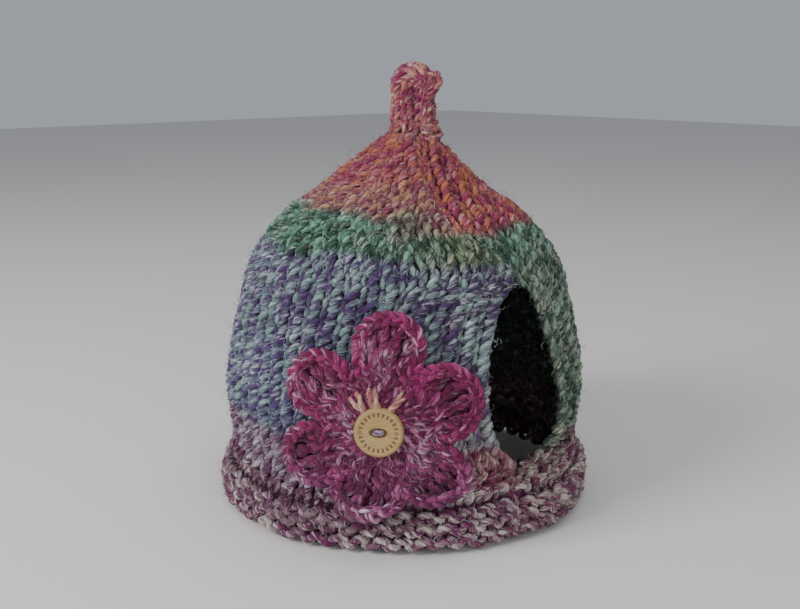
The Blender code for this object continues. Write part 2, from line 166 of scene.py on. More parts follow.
class Curve:
    """A smooth line through points that never overshoots them."""

    def __init__(self, points, column=1):
        self.x = np.array([p[0] for p in points], float)
        self.y = np.array([p[column] for p in points], float)
        step = np.diff(self.y) / np.diff(self.x)
        self.slope = np.zeros(len(self.x))
        self.slope[0], self.slope[-1] = step[0], step[-1]
        before, after = step[:-1], step[1:]
        same = before * after > 0
        total = np.where(same, before + after, 1.0)
        self.slope[1:-1] = np.where(same, 2 * before * after / total, 0.0)

    def __call__(self, at):
        at = np.clip(at, self.x[0], self.x[-1])
        i = np.clip(np.searchsorted(self.x, at, side="right") - 1, 0, len(self.x) - 2)
        wide = self.x[i + 1] - self.x[i]
        t = (at - self.x[i]) / wide
        return (
            self.y[i] * (1 + 2 * t) * (1 - t) ** 2
            + self.y[i + 1] * t * t * (3 - 2 * t)
            + wide * self.slope[i] * t * (1 - t) ** 2
            - wide * self.slope[i + 1] * t * t * (1 - t)
        )


def ease(low, high, at):
    t = np.clip((at - low) / (high - low), 0.0, 1.0)
    return t * t * (3 - 2 * t)


class EdgeLine:
    """An opening's edge in degrees. Far columns follow a smoothed line, and near ones the edge itself."""

    def __init__(self, curve):
        self.heights = np.linspace(0.0, TOP, 345)
        self.exact = curve(self.heights)
        reach = np.arange(-60, 61)
        weights = np.exp(-((reach * 0.5 / EDGE_SMOOTHING) ** 2))
        padded = np.pad(self.exact, 60, mode="edge")
        self.soft = np.convolve(padded, weights / weights.sum(), mode="valid")

    def __call__(self, height, turn):
        """The edge's angle for a column that is turn degrees from it."""
        exact = np.interp(height, self.heights, self.exact)
        soft = np.interp(height, self.heights, self.soft)
        near = 1 - ease(0.0, EDGE_REACH, turn)
        return soft + (exact - soft) * near


RADIUS = Curve(PROFILE)
WIDE_OPEN = Curve(WIDE_SIDE, 2)
NARROW = Curve(NARROW_SIDE)
FRONT_EDGE = EdgeLine(Curve(WIDE_SIDE, 1))
BACK_EDGE = EdgeLine(lambda height: Curve(WIDE_SIDE, 1)(height) + WIDE_OPEN(height))
NARROW_EDGE = EdgeLine(NARROW)

# The shape of the cloth


def profile_line():
    """The cloth's outside from hem to crown, as length along it, radius and height."""
    height = np.linspace(0.0, TOP, 900)
    radius = RADIUS(height)
    height = np.concatenate((height, [p[0] for p in GATHER]))
    radius = np.concatenate((radius, [p[1] for p in GATHER]))
    length = np.concatenate(([0.0], np.cumsum(np.hypot(np.diff(height), np.diff(radius)))))
    return length, radius, height


LINE_LENGTH, LINE_RADIUS, LINE_HEIGHT = profile_line()
LENGTH = LINE_LENGTH[-1]


def unevenness(angle, height):
    """The soft dents and swells of hand knitting, and the waves of the hem."""
    cloth = 0.7 * np.sin(2 * angle + 0.02 * height + 0.6)
    cloth = cloth + 0.5 * np.sin(5 * angle - 0.05 * height + 2.1)
    hem = 1.1 * np.sin(4 * angle + 1.0) + 0.7 * np.sin(9 * angle + 0.4)
    low = 1 - ease(HEM_TOP - 8, HEM_TOP + 6, height)
    body = ease(HEM_TOP - 4, HEM_TOP + 14, height) * (1 - ease(130.0, 160.0, height))
    return cloth * body + hem * low * ease(0.0, 7.0, height)


def column_angle(share, height, front):
    """The angle of a point across a panel. share runs from the wide side (0) to the narrow side (1)."""
    turn = 180.0 * share
    wide = -FRONT_EDGE(height, turn) if front else BACK_EDGE(height, turn)
    narrow = NARROW_EDGE(height, 180.0 - turn)
    angle = np.radians(turn + wide * (1 - share) - narrow * share)
    return -angle if front else angle


def panel_width(along):
    """How wide a panel is, in mm, at a length along the profile."""
    height = np.interp(along, LINE_LENGTH, LINE_HEIGHT)
    radius = np.interp(along, LINE_LENGTH, LINE_RADIUS)
    open_part = WIDE_OPEN(height) / 2 + NARROW(height)
    return radius * np.radians(180.0 - open_part)


def cloth_place(share, along, out, front):
    """Points on a panel, in mm: share across it, length up its profile, and out from its middle layer."""
    along = np.clip(along, 0.0, LENGTH)
    height = np.interp(along, LINE_LENGTH, LINE_HEIGHT)
    radius = np.interp(along, LINE_LENGTH, LINE_RADIUS)
    step = 1.0
    low, high = np.clip(along - step, 0, LENGTH), np.clip(along + step, 0, LENGTH)
    rise = np.interp(high, LINE_LENGTH, LINE_HEIGHT) - np.interp(low, LINE_LENGTH, LINE_HEIGHT)
    widen = np.interp(high, LINE_LENGTH, LINE_RADIUS) - np.interp(low, LINE_LENGTH, LINE_RADIUS)
    tilt = np.hypot(rise, widen)
    outward, upward = rise / tilt, -widen / tilt
    angle = column_angle(share, height, front)
    edge = np.minimum(share, 1 - share) * panel_width(along)
    half_open = np.where(share < 0.5, WIDE_OPEN(height) / 2, NARROW(height))
    lip = LIP_LIFT * np.minimum(half_open / LIP_FULL_AT, 1.0) * np.maximum(0.0, 1 - edge / LIP_REACH) ** 2
    middle = (HEM_THICK + (CLOTH_THICK - HEM_THICK) * ease(HEM_TOP - 10, HEM_TOP + 4, height)) / 2 + 0.1
    lift = out - middle
    far = radius + unevenness(angle, height) + lip + lift * outward
    height = height + lift * upward
    shift = CROWN_LEAN * ease(CROWN_LEAN_FROM, TOP, height)
    lean = math.radians(LEAN_DIRECTION)
    x = np.maximum(far, 1.8) * np.cos(angle) + shift * math.cos(lean)
    y = np.maximum(far, 1.8) * np.sin(angle) + shift * math.sin(lean)
    return np.stack((x, y, height), axis=-1)


# Rows of stitches


def stitch_edges(along):
    """Where a row's stitches begin and end. The crown's rows lose stitches at each sector's edge."""
    wanted = min(STITCHES, panel_width(along) / STITCH_WIDE)
    if wanted >= STITCHES:
        return np.linspace(0.0, 1.0, STITCHES + 1)
    in_sector = wanted / CROWN_SECTORS
    whole = max(int(in_sector), 1)
    edges = [j / in_sector for j in range(whole + 1)]
    left = 1.0 - edges[-1]
    if left > 0.45 / in_sector:
        edges.append(1.0)
    else:
        edges = [e / edges[-1] for e in edges]
    shares = [0.0]
    for sector in range(CROWN_SECTORS):
        shares += [(sector + e) / CROWN_SECTORS for e in edges[1:]]
    return np.array(shares)


def knitted_row(rng, along, front, kind):
    """One row of loops from the wide side to the narrow side, as share, length along and distance out."""
    edges = stitch_edges(along)
    count = len(edges) - 1
    wide = float(panel_width(along))
    inset = EDGE_INSET / wide
    edges = inset + edges * (1 - 2 * inset)
    pitch = HEM_PITCH if kind else ROW_PITCH
    half = GARTER_HALF if kind else LOOP_HALF
    at = np.arange(count * STEPS + 1) / STEPS
    stitch = np.minimum(at.astype(int), count - 1)
    turn = at - stitch
    cell = edges[stitch + 1] - edges[stitch]
    loose = 0.5 - 0.5 * np.cos(2 * math.pi * turn)

    def uneven(size):
        """A different small value at each loop's top and between loops, blended along the yarn."""
        heads = rng.normal(0.0, size, count)
        feet = rng.normal(0.0, size, count + 1)
        between = np.where(turn < 0.5, feet[stitch], feet[stitch + 1])
        return heads[stitch] * loose + between * (1 - loose)

    bow = LOOP_BOW * (GARTER_BOW if kind else 1.0)
    share = edges[stitch] + cell * (turn + bow * np.sin(4 * math.pi * turn))
    high = -half * np.cos(2 * math.pi * turn) + uneven(0.08 * pitch)
    lean = -1.0 if front else 1.0
    slant = lean * LEG_SLANT * (GARTER_SLANT if kind else 1.0)
    share = share + (slant * high + uneven(0.3)) / wide
    share = np.clip(share, inset * 0.9, 1 - inset * 0.9)
    if kind == "knit":
        out = -GARTER_DEPTH * np.cos(2 * math.pi * turn)
    elif kind == "purl":
        out = GARTER_DEPTH * np.cos(2 * math.pi * turn)
    else:
        out = -LOOP_DEPTH * np.cos(4 * math.pi * turn) - lean * LEG_LIFT * np.sin(2 * math.pi * turn)
    out = out + uneven(0.2)
    wave = 0.8 * np.sin(share * 7.3 + along * 0.035 + (1.0 if front else 4.0))
    wave = wave * ease(8.0, 30.0, along) * (1 - ease(LENGTH - 40, LENGTH - 10, along))
    return share, along + high + wave, out


def row_plan():
    """The length along the profile and the kind of stitch of every row, from hem to crown."""
    rows = [(HEM_FIRST + k * HEM_PITCH, "purl" if k % 2 else "knit") for k in range(HEM_ROWS)]
    last = LENGTH - 1.5 - LOOP_HALF
    count = round((last - ROW_FIRST) / ROW_PITCH)
    pitch = (last - ROW_FIRST) / count
    return rows + [(ROW_FIRST + k * pitch, "") for k in range(count + 1)]


def knit(seed, front, rows):
    """The yarn of some rows, back and forth: its points in mm, and how deep each point lies, from -1 where
    deep to 0, which also gives its painted shade.
    """
    rng = np.random.default_rng(seed)
    parts = []
    for k, (along, kind) in enumerate(rows):
        share, up, out = knitted_row(rng, along, front, kind)
        if k % 2:
            share, up, out = share[::-1], up[::-1], out[::-1]
        if parts:
            ends = parts[-1][0][-1], share[0]
            heights = parts[-1][1][-1], up[0]
            ways = np.array([0.25, 0.5, 0.75])
            turn_share = ends[0] + (ends[1] - ends[0]) * ways
            turn_up = heights[0] + (heights[1] - heights[0]) * ways
            parts.append((turn_share, turn_up, np.array([0.2, 0.5, 0.2])))
        parts.append((share, up, out))
    share, up, out = (np.concatenate(p) for p in zip(*parts))
    return cloth_place(share, up, out, front), ease(-1.7, 1.5, out) - 1.0


# Meshes and yarn


def mesh_object(name, points, faces, material=None, smooth=True):
    """A mesh from points in mm and faces."""
    mesh = bpy.data.meshes.new(name)
    mesh.from_pydata((np.asarray(points) * MM).tolist(), [], [tuple(f) for f in faces])
    mesh.validate()
    if smooth:
        mesh.shade_smooth()
    made = bpy.data.objects.new(name, mesh)
    bpy.context.scene.collection.objects.link(made)
    if material:
        mesh.materials.append(material)
    return made


def place_pieces(pieces, node):
    """Puts pieces on the one body, and hides the CAD node whose place they take."""
    for piece in pieces:
        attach(piece, "root")
        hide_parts(node)


def strand(points, radius=YARN_RADIUS, start=0.0, painted_light_shade=0.0):
    """A length of yarn: its centre line in mm, its radius, where its twist starts and its painted light and
    shade.
    """
    points = np.asarray(points, float)
    step = np.linalg.norm(np.diff(points, axis=0), axis=1)
    run = start + np.concatenate(([0.0], np.cumsum(step)))
    radius, painted_light_shade = (np.broadcast_to(value, len(points)).astype(float) for value in (radius, painted_light_shade))
    return points, radius, run, painted_light_shade


def uneven_radius(rng, count, radius, spread):
    """Yarn that is thicker and thinner along its length."""
    knots = rng.normal(0.0, spread, count // 9 + 3)
    return radius * (1 + np.interp(np.arange(count) / 9.0, np.arange(len(knots)), knots))


def strand_lines(name, strands):
    """Strands' centre lines as a mesh of edges, with each point's radius, place along the yarn and painted
    light and shade.
    """
    points = np.concatenate([s[0] for s in strands])
    edges, first = [], 0
    for s in strands:
        edges += [(i, i + 1) for i in range(first, first + len(s[0]) - 1)]
        first += len(s[0])
    mesh = bpy.data.meshes.new(name)
    mesh.from_pydata((points * MM).tolist(), edges, [])
    for label, column in (("thick", 1), ("run", 2), ("painted_light_shade", 3)):
        values = np.concatenate([s[column] for s in strands])
        mesh.attributes.new(label, "FLOAT", "POINT").data.foreach_set("value", values)
    made = bpy.data.objects.new(name, mesh)
    bpy.context.scene.collection.objects.link(made)
    return made


class Tree:
    """A node tree of either kind, with one call for any node."""

    def __init__(self, tree):
        self.tree = tree

    def number(self, socket):
        return Number(self, socket)

    def node(self, kind, settings=None, output=0, **inputs):
        """Makes a node and gives its output. Inputs go by name, or by place as i0, i1 and so on."""
        made = self.tree.nodes.new(kind)
        for key, value in (settings or {}).items():
            setattr(made, key, value)
        for key, value in inputs.items():
            wanted = key.replace("_", " ").lower()
            choices = [s for s in made.inputs if s.enabled and s.name.lower() == wanted]
            self.give(choices[0] if choices else made.inputs[int(key[1:])], value)
        enabled = [s for s in made.outputs if s.enabled]
        return enabled[output] if isinstance(output, int) else made.outputs[output]

    def give(self, socket, value):
        """Sets a socket to a value, or links it."""
        if isinstance(value, Number):
            value = value.socket
        if isinstance(value, bpy.types.NodeSocket):
            self.tree.links.new(value, socket)
        else:
            socket.default_value = value


class Number:
    """A number that a node tree works out. Python's own operators make the Math nodes."""

    def __init__(self, tree, socket):
        self.tree, self.socket = tree, socket

    def math(self, operation, *others, clamp=False):
        made = self.tree.tree.nodes.new("ShaderNodeMath")
        made.operation, made.use_clamp = operation, clamp
        for socket, value in zip(made.inputs, (self, *others)):
            self.tree.give(socket, value)
        return Number(self.tree, made.outputs[0])

    def __add__(self, other):
        return self.math("ADD", other)

    def __sub__(self, other):
        return self.math("SUBTRACT", other)

    def __mul__(self, other):
        return self.math("MULTIPLY", other)

    def __truediv__(self, other):
        return self.math("DIVIDE", other)

    def __pow__(self, other):
        return self.math("POWER", other)

    def __neg__(self):
        return self * -1.0

    def __radd__(self, other):
        return self + other

    def __rsub__(self, other):
        return -self + other

    def __rmul__(self, other):
        return self * other

    def __rtruediv__(self, other):
        return self ** -1.0 * other

    def __abs__(self):
        return self.math("ABSOLUTE")

    def sin(self):
        return self.math("SINE")

    def atan2(self, other):
        return self.math("ARCTAN2", other)

    def clamp(self):
        return self.math("ADD", 0.0, clamp=True)

    def smooth(self, low, high):
        """0 below low, 1 above high, eased between."""
        settings = {"interpolation_type": "SMOOTHSTEP"}
        made = self.tree.node("ShaderNodeMapRange", settings, Value=self, From_Min=low, From_Max=high)
        return Number(self.tree, made)


def set_input(modifier, tree, name, value):
    """Sets a modifier's input by its socket's identifier."""
    found = [i for i in tree.interface.items_tree if i.name == name and i.in_out == "INPUT"]
    modifier[found[0].identifier] = value


def geometry_tree(name, inputs):
    """A new Geometry Nodes tree with named inputs and one geometry output."""
    tree = bpy.data.node_groups.new(name, "GeometryNodeTree")
    tree.interface.new_socket("Geometry", in_out="INPUT", socket_type="NodeSocketGeometry")
    for label, kind in inputs:
        tree.interface.new_socket(label, in_out="INPUT", socket_type=kind)
    tree.interface.new_socket("Geometry", in_out="OUTPUT", socket_type="NodeSocketGeometry")
    group = tree.nodes.new("NodeGroupInput")
    return Tree(tree), {s.name: s for s in group.outputs}


def end_tree(made, geometry, material):
    """Every tree ends in Realize Instances and Set Material."""
    realized = made.node("GeometryNodeRealizeInstances", Geometry=geometry)
    finished = made.node("GeometryNodeSetMaterial", Geometry=realized, Material=material)
    out = made.tree.nodes.new("NodeGroupOutput")
    made.tree.links.new(finished, out.inputs[0])
    return made.tree


def spinning_tree():
    """Spins two plies of yarn along lines of edges."""
    inputs = [
        ("Sides", "NodeSocketInt"),
        ("Turn length", "NodeSocketFloat"),
        ("Ply depth", "NodeSocketFloat"),
        ("Material", "NodeSocketMaterial"),
    ]
    made, given = geometry_tree("spun yarn", inputs)

    def stored(name):
        return made.number(made.node("GeometryNodeInputNamedAttribute", {"data_type": "FLOAT"}, Name=name))

    line = made.node("GeometryNodeMeshToCurve", Mesh=given["Geometry"])
    tilt = stored("run") * (2 * math.pi) / made.number(given["Turn length"])
    line = made.node("GeometryNodeSetCurveTilt", Curve=line, Tilt=tilt)
    circle = {"mode": "RADIUS"}
    ring = made.node("GeometryNodeCurvePrimitiveCircle", circle, Resolution=given["Sides"], Radius=1.0)
    spot = made.node("GeometryNodeInputPosition")
    across = made.node("ShaderNodeSeparateXYZ", Vector=spot)
    along = made.node("ShaderNodeSeparateXYZ", output=1, Vector=spot)
    store = {"data_type": "FLOAT", "domain": "POINT"}
    ring = made.node("GeometryNodeStoreNamedAttribute", store, Geometry=ring, Name="ply", Value=across)
    ring = made.node("GeometryNodeStoreNamedAttribute", store, Geometry=ring, Name="side", Value=along)
    size = 1.0 - (1.0 - abs(stored("ply"))) * made.number(given["Ply depth"])
    place = made.node("ShaderNodeVectorMath", {"operation": "SCALE"}, Vector=spot, Scale=size)
    ring = made.node("GeometryNodeSetPosition", Geometry=ring, Position=place)
    thick = stored("thick") * MM
    spun = made.node("GeometryNodeCurveToMesh", Curve=line, Profile_Curve=ring, Scale=thick, Fill_Caps=True)
    spun = made.node("GeometryNodeSetShadeSmooth", Geometry=spun)
    return end_tree(made, spun, given["Material"])


def plain_mesh(made, tree, settings):
    """Runs a Geometry Nodes tree on an object and keeps the result as a plain mesh."""
    modifier = made.modifiers.new(tree.name, "NODES")
    modifier.node_group = tree
    for name, value in settings.items():
        set_input(modifier, tree, name, value)
    seen = made.evaluated_get(bpy.context.evaluated_depsgraph_get())
    mesh = bpy.data.meshes.new_from_object(seen)
    old = made.data
    made.modifiers.clear()
    made.data = mesh
    bpy.data.meshes.remove(old)
    mesh.name = made.name
    return made


SPIN = spinning_tree()
# Loose fibres stand on yarn that faces away from the middle, above the lowest height. They get denser between
# the crown's two heights. These are in metres, and a fibre's width is in mm.
FUZZ_MIDDLE = (0.0, 0.0, 0.06)
FUZZ_LOWEST = 0.006
FUZZ_CROWN = (0.125, 0.15)
FIBRE_WIDTH = 0.06


def yarn(name, strands, material, turn_length=TURN_LENGTH, sides=YARN_SIDES, ply_depth=PLY_DEPTH):
    """A piece of spun yarn along its strands."""
    lines = strand_lines(name, strands)
    settings = {"Sides": sides, "Turn length": turn_length, "Ply depth": ply_depth, "Material": material}
    return plain_mesh(lines, SPIN, settings)


def fuzz_tree():
    """Scatters bent fibres over the outer side of yarn, more of them on the crown."""
    inputs = [
        ("Per square cm", "NodeSocketFloat"),
        ("Fibre length", "NodeSocketFloat"),
        ("Fibre width", "NodeSocketFloat"),
        ("Seed", "NodeSocketInt"),
        ("Material", "NodeSocketMaterial"),
    ]
    made, given = geometry_tree("loose fibres", inputs)

    def between(low, high, seed):
        settings = {"data_type": "FLOAT"}
        return made.node("FunctionNodeRandomValue", settings, Min=low, Max=high, Seed=seed)

    spot = made.node("GeometryNodeInputPosition")
    facing = made.node("GeometryNodeInputNormal")
    away = made.node("ShaderNodeVectorMath", {"operation": "SUBTRACT"}, i0=spot, i1=FUZZ_MIDDLE)
    dot = {"operation": "DOT_PRODUCT"}
    outer = made.node("ShaderNodeVectorMath", dot, output="Value", i0=away, i1=facing)
    height = made.number(made.node("ShaderNodeSeparateXYZ", output="Z", Vector=spot))
    wanted = made.number(outer).math("GREATER_THAN", 0.0) * height.math("GREATER_THAN", FUZZ_LOWEST)
    crown = height.smooth(*FUZZ_CROWN)
    density = made.number(given["Per square cm"]) * 10000.0 * (crown * 0.8 + 0.85)
    spread = made.tree.nodes.new("GeometryNodeDistributePointsOnFaces")
    choices = {"Mesh": given["Geometry"], "Selection": wanted, "Density": density, "Seed": given["Seed"]}
    for label, value in choices.items():
        made.give(spread.inputs[label], value)
    lean_x, lean_y, turn = between(-0.9, 0.9, 3), between(-0.9, 0.9, 4), between(0.0, 6.283, 5)
    leaning = made.node("ShaderNodeCombineXYZ", X=lean_x, Y=lean_y, Z=turn)
    leaning = made.node("FunctionNodeEulerToRotation", Euler=leaning)
    own = {"rotation_space": "LOCAL"}
    upright = spread.outputs["Rotation"]
    turned = made.node("FunctionNodeRotateRotation", own, Rotation=upright, Rotate_By=leaning)
    bent = made.node(
        "GeometryNodeCurvePrimitiveBezierSegment",
        Resolution=3,
        Start=(0.0, 0.0, -0.05),
        Start_Handle=(0.0, 0.1, 0.5),
        End_Handle=(0.75, -0.25, 0.75),
        End=(0.85, 0.3, 0.35),
    )
    width = made.number(given["Fibre width"]) / made.number(given["Fibre length"])
    ring = made.node("GeometryNodeCurvePrimitiveCircle", {"mode": "RADIUS"}, Resolution=3, Radius=width)
    fibre = made.node("GeometryNodeCurveToMesh", Curve=bent, Profile_Curve=ring, Scale=1.0, Fill_Caps=True)
    size = made.number(given["Fibre length"]) * made.number(between(0.45, 1.5, 6))
    scale = made.node("ShaderNodeCombineXYZ", X=size, Y=size, Z=size)
    placing = {"Points": spread.outputs["Points"], "Instance": fibre, "Rotation": turned, "Scale": scale}
    fibres = made.node("GeometryNodeInstanceOnPoints", **placing)
    return end_tree(made, fibres, given["Material"])


FUZZ = fuzz_tree()


def fuzz(name, pieces, material, seed, per_square_cm, length=3.9):
    """Loose fibres over some pieces of yarn, as one plain mesh."""
    joined = bmesh.new()
    for piece in pieces:
        joined.from_mesh(piece.data)
    mesh = bpy.data.meshes.new(name)
    joined.to_mesh(mesh)
    joined.free()
    made = bpy.data.objects.new(name, mesh)
    bpy.context.scene.collection.objects.link(made)
    settings = {
        "Per square cm": per_square_cm,
        "Fibre length": length * MM,
        "Fibre width": FIBRE_WIDTH * MM,
        "Seed": seed,
        "Material": material,
    }
    return plain_mesh(made, FUZZ, settings)


# Materials


class Paint(Tree):
    """A material's nodes."""

    def __init__(self, name):
        self.material = bpy.data.materials.new(name)
        self.material.use_nodes = True
        super().__init__(self.material.node_tree)
        self.tree.nodes.clear()
        self.spot = self.node("ShaderNodeTexCoord", output="Object")

    def stored(self, name):
        return self.number(self.node("ShaderNodeAttribute", {"attribute_name": name}, output="Fac"))

    def part(self, axis):
        """The object's x, y or z at the point, in mm."""
        return self.number(self.node("ShaderNodeSeparateXYZ", output=axis, Vector=self.spot)) * 1000.0

    def mix(self, first, second, share):
        """A colour between two colours."""
        made = self.tree.nodes.new("ShaderNodeMix")
        made.data_type = "RGBA"
        self.give(made.inputs[0], share)
        for socket, colour in ((made.inputs[6], first), (made.inputs[7], second)):
            self.give(socket, (*colour, 1.0) if isinstance(colour, tuple) and len(colour) == 3 else colour)
        return made.outputs[2]

    def shade(self, colour, amount):
        """A colour made darker or lighter by a number."""
        made = self.tree.nodes.new("ShaderNodeVectorMath")
        made.operation = "SCALE"
        self.give(made.inputs[0], colour)
        self.give(made.inputs[3], amount)
        return made.outputs[0]

    def noise(self, scale, detail=2.0, vector=None, run=None):
        """Noise from 0 to 1 in the object's space, or along a number."""
        if run is not None:
            line = {"noise_dimensions": "1D"}
            return self.number(self.node("ShaderNodeTexNoise", line, W=run, Scale=scale, Detail=detail))
        place = self.spot if vector is None else vector
        return self.number(self.node("ShaderNodeTexNoise", Vector=place, Scale=scale, Detail=detail))

    def vector(self, x, y, z):
        return self.node("ShaderNodeCombineXYZ", X=x, Y=y, Z=z)

    def finish(self, colour, bump, roughness=0.9, strength=0.4, distance=0.0003, sheen=0.0, coat=0.0):
        """Ends the material: its colour, its raised grain and its gloss."""
        surface = self.tree.nodes.new("ShaderNodeBsdfPrincipled")
        self.give(surface.inputs["Base Color"], colour)
        self.give(surface.inputs["Roughness"], roughness)
        surface.inputs["Sheen Weight"].default_value = sheen
        surface.inputs["Sheen Roughness"].default_value = 0.55
        surface.inputs["Coat Weight"].default_value = coat
        surface.inputs["Specular IOR Level"].default_value = 0.25
        if bump is not None:
            raised = self.node("ShaderNodeBump", Height=bump, Strength=strength, Distance=distance)
            self.give(surface.inputs["Normal"], raised)
        out = self.tree.nodes.new("ShaderNodeOutputMaterial")
        self.tree.links.new(surface.outputs[0], out.inputs[0])
        return self.material


# The dyed zones from the hem up: the height where each ends, then the colours of its dark ply, its light ply
# and its pale hairs.
LEFT_ZONES = (
    (9.5, (0.11, 0.012, 0.066), (0.42, 0.36, 0.35), (0.72, 0.67, 0.62)),
    (26.5, (0.082, 0.010, 0.050), (0.235, 0.165, 0.18), (0.62, 0.55, 0.54)),
    (48.0, (0.10, 0.03, 0.085), (0.33, 0.27, 0.32), (0.62, 0.55, 0.60)),
    (84.0, (0.064, 0.032, 0.122), (0.215, 0.315, 0.312), (0.52, 0.56, 0.62)),
    (123.5, (0.056, 0.022, 0.098), (0.192, 0.285, 0.27), (0.50, 0.52, 0.58)),
    (141.0, (0.008, 0.036, 0.022), (0.13, 0.285, 0.20), (0.40, 0.46, 0.38)),
    (150.0, (0.165, 0.03, 0.065), (0.33, 0.165, 0.09), (0.54, 0.41, 0.36)),
    (300.0, (0.185, 0.014, 0.062), (0.35, 0.115, 0.048), (0.50, 0.28, 0.27)),
)
RIGHT_ZONES = (
    (26.5, (0.13, 0.016, 0.075), (0.50, 0.43, 0.41), (0.74, 0.69, 0.64)),
    (44.0, (0.15, 0.022, 0.06), (0.42, 0.28, 0.26), (0.62, 0.48, 0.44)),
    (70.0, (0.085, 0.045, 0.11), (0.30, 0.36, 0.33), (0.54, 0.49, 0.48)),
    (119.5, (0.054, 0.025, 0.08), (0.22, 0.31, 0.292), (0.50, 0.52, 0.54)),
    (131.5, (0.022, 0.05, 0.024), (0.25, 0.31, 0.19), (0.48, 0.42, 0.28)),
    (150.0, (0.19, 0.035, 0.075), (0.38, 0.19, 0.10), (0.60, 0.46, 0.40)),
    (300.0, (0.21, 0.014, 0.070), (0.385, 0.125, 0.05), (0.53, 0.28, 0.26)),
)
BACK_ZONES = (
    (26.5, (0.125, 0.018, 0.07), (0.42, 0.35, 0.31), (0.66, 0.59, 0.53)),
    (39.0, (0.13, 0.03, 0.07), (0.38, 0.33, 0.28), (0.62, 0.54, 0.48)),
    (118.0, (0.02, 0.05, 0.035), (0.23, 0.31, 0.24), (0.50, 0.46, 0.36)),
    (132.0, (0.016, 0.055, 0.034), (0.19, 0.34, 0.25), (0.42, 0.42, 0.32)),
    (300.0, (0.21, 0.014, 0.070), (0.385, 0.125, 0.05), (0.53, 0.28, 0.26)),
)


def zone_colour(paint, zones, height, part):
    """The colour of one part of the yarn at a height: 1 its dark ply, 2 its light ply, 3 its pale hairs."""
    colour = zones[0][part]
    for below, above in zip(zones, zones[1:]):
        colour = paint.mix(colour, above[part], height.smooth(below[0] - 2.5, below[0] + 2.5))
    return colour


def spun_wool(name, colours):
    """Two plies of soft yarn and pale hairs among them. A colour is a value, or a function of the paint."""
    paint = Paint(name)
    run, ply, side, painted_light_shade = (paint.stored(label) for label in ("run", "ply", "side", "painted_light_shade"))
    dark, light, pale = (colour(paint) if callable(colour) else colour for colour in colours)
    drift = paint.noise(0.05, 2.0, run=run)
    fibres = paint.noise(1.5, 2.0, paint.vector(ply * 1.4, side * 1.4, run * 0.2))
    fine = paint.noise(1.7, 3.0, paint.vector(ply * 2.6, side * 2.6, run * 0.32))
    hairs = paint.noise(1.5, 1.0, paint.vector(ply * 0.62 + 9.0, side * 0.62, run * 0.1))
    patch = paint.noise(85.0, 1.0)
    blotches = (drift - 0.5) * 3.2 + (patch - 0.5) * 3.2
    share = ply * 0.7 + blotches + (fibres - 0.5) * 2.4 + (fine - 0.5) * 3.0
    colour = paint.mix(dark, light, share.smooth(-0.75, 1.45))
    spread = paint.noise(50.0, 1.0)
    hairs_here = hairs + (fine - 0.5) * 0.4 + (spread - 0.5) * 0.45
    colour = paint.mix(colour, pale, hairs_here.smooth(0.5, 0.92) * 0.9)
    # Painted shade: the groove between the two plies is painted darker, and each point is lit or shaded by
    # its painted light and shade.
    groove = abs(ply).smooth(0.0, 0.42) * 0.45 + 0.55
    colour = paint.shade(colour, groove * (fine * 1.98 + 0.01) * (painted_light_shade + 1.0))
    height = fibres * 0.6 + fine * 0.8 + hairs * 0.5
    return paint.finish(colour, height, roughness=0.92, strength=0.9, distance=0.0007, sheen=0.08)


def loose_fibres(name, colours):
    """Single fibres that stand off the yarn: mostly the pale ones, as the light catches them."""
    paint = Paint(name)
    dark, light, pale = (colour(paint) if callable(colour) else colour for colour in colours)
    patch = paint.noise(260.0, 1.0)
    colour = paint.mix(dark, light, patch.smooth(0.36, 0.5))
    colour = paint.mix(colour, pale, patch.smooth(0.48, 0.62))
    return paint.finish(colour, None, 0.9, sheen=0.08)


def panel_colour(zones_left, zones_right, part):
    """A panel's colours: its zones on the left and on the right, with ragged borders."""

    def make(paint):
        x, y, z = (paint.part(axis) for axis in "XYZ")
        ragged = z + (paint.noise(28.0, 1.0) - 0.5) * 16.0
        way = math.radians(LEAN_DIRECTION)
        right = x * math.cos(way) + y * math.sin(way) + (paint.noise(30.0) - 0.5) * 30.0
        left_colour = zone_colour(paint, zones_left, ragged, part)
        if zones_left is zones_right:
            return left_colour
        right_colour = zone_colour(paint, zones_right, ragged, part)
        return paint.mix(left_colour, right_colour, right.smooth(-14.0, 26.0))

    return make


FRONT_COLOURS = [panel_colour(LEFT_ZONES, RIGHT_ZONES, part) for part in (1, 2, 3)]
BACK_COLOURS = [panel_colour(BACK_ZONES, BACK_ZONES, part) for part in (1, 2, 3)]
FRONT_WOOL = spun_wool("front wool", FRONT_COLOURS)
BACK_WOOL = spun_wool("back wool", BACK_COLOURS)
KNOT_WOOL = spun_wool("topknot wool", ((0.19, 0.010, 0.07), (0.42, 0.15, 0.12), (0.70, 0.52, 0.46)))


def petal_colour(deep, soft):
    """A petal colour that is deep in the upper petals and softer in the lower ones."""

    def make(paint):
        high = paint.part("Z") + (paint.noise(60.0, 1.0) - 0.5) * 30.0
        return paint.mix(soft, deep, high.smooth(24.0, 62.0))

    return make


FLOWER_COLOURS = [
    petal_colour((0.10, 0.003, 0.036), (0.085, 0.008, 0.045)),
    petal_colour((0.235, 0.014, 0.102), (0.235, 0.05, 0.145)),
    petal_colour((0.52, 0.31, 0.44), (0.64, 0.50, 0.59)),
]
FLOWER_WOOL = spun_wool("flower wool", FLOWER_COLOURS)
FRONT_HALO = loose_fibres("front loose fibres", FRONT_COLOURS)
BACK_HALO = loose_fibres("back loose fibres", BACK_COLOURS)
KNOT_FIBRES = ((0.30, 0.03, 0.09), (0.50, 0.20, 0.12), (0.66, 0.48, 0.45))
KNOT_HALO = loose_fibres("topknot loose fibres", KNOT_FIBRES)
FLOWER_HALO = loose_fibres("flower loose fibres", [*FLOWER_COLOURS[:2], (0.46, 0.14, 0.28)])
PEACH_WOOL = spun_wool("peach wool", ((0.34, 0.11, 0.11), (0.52, 0.34, 0.22), (0.66, 0.52, 0.44)))
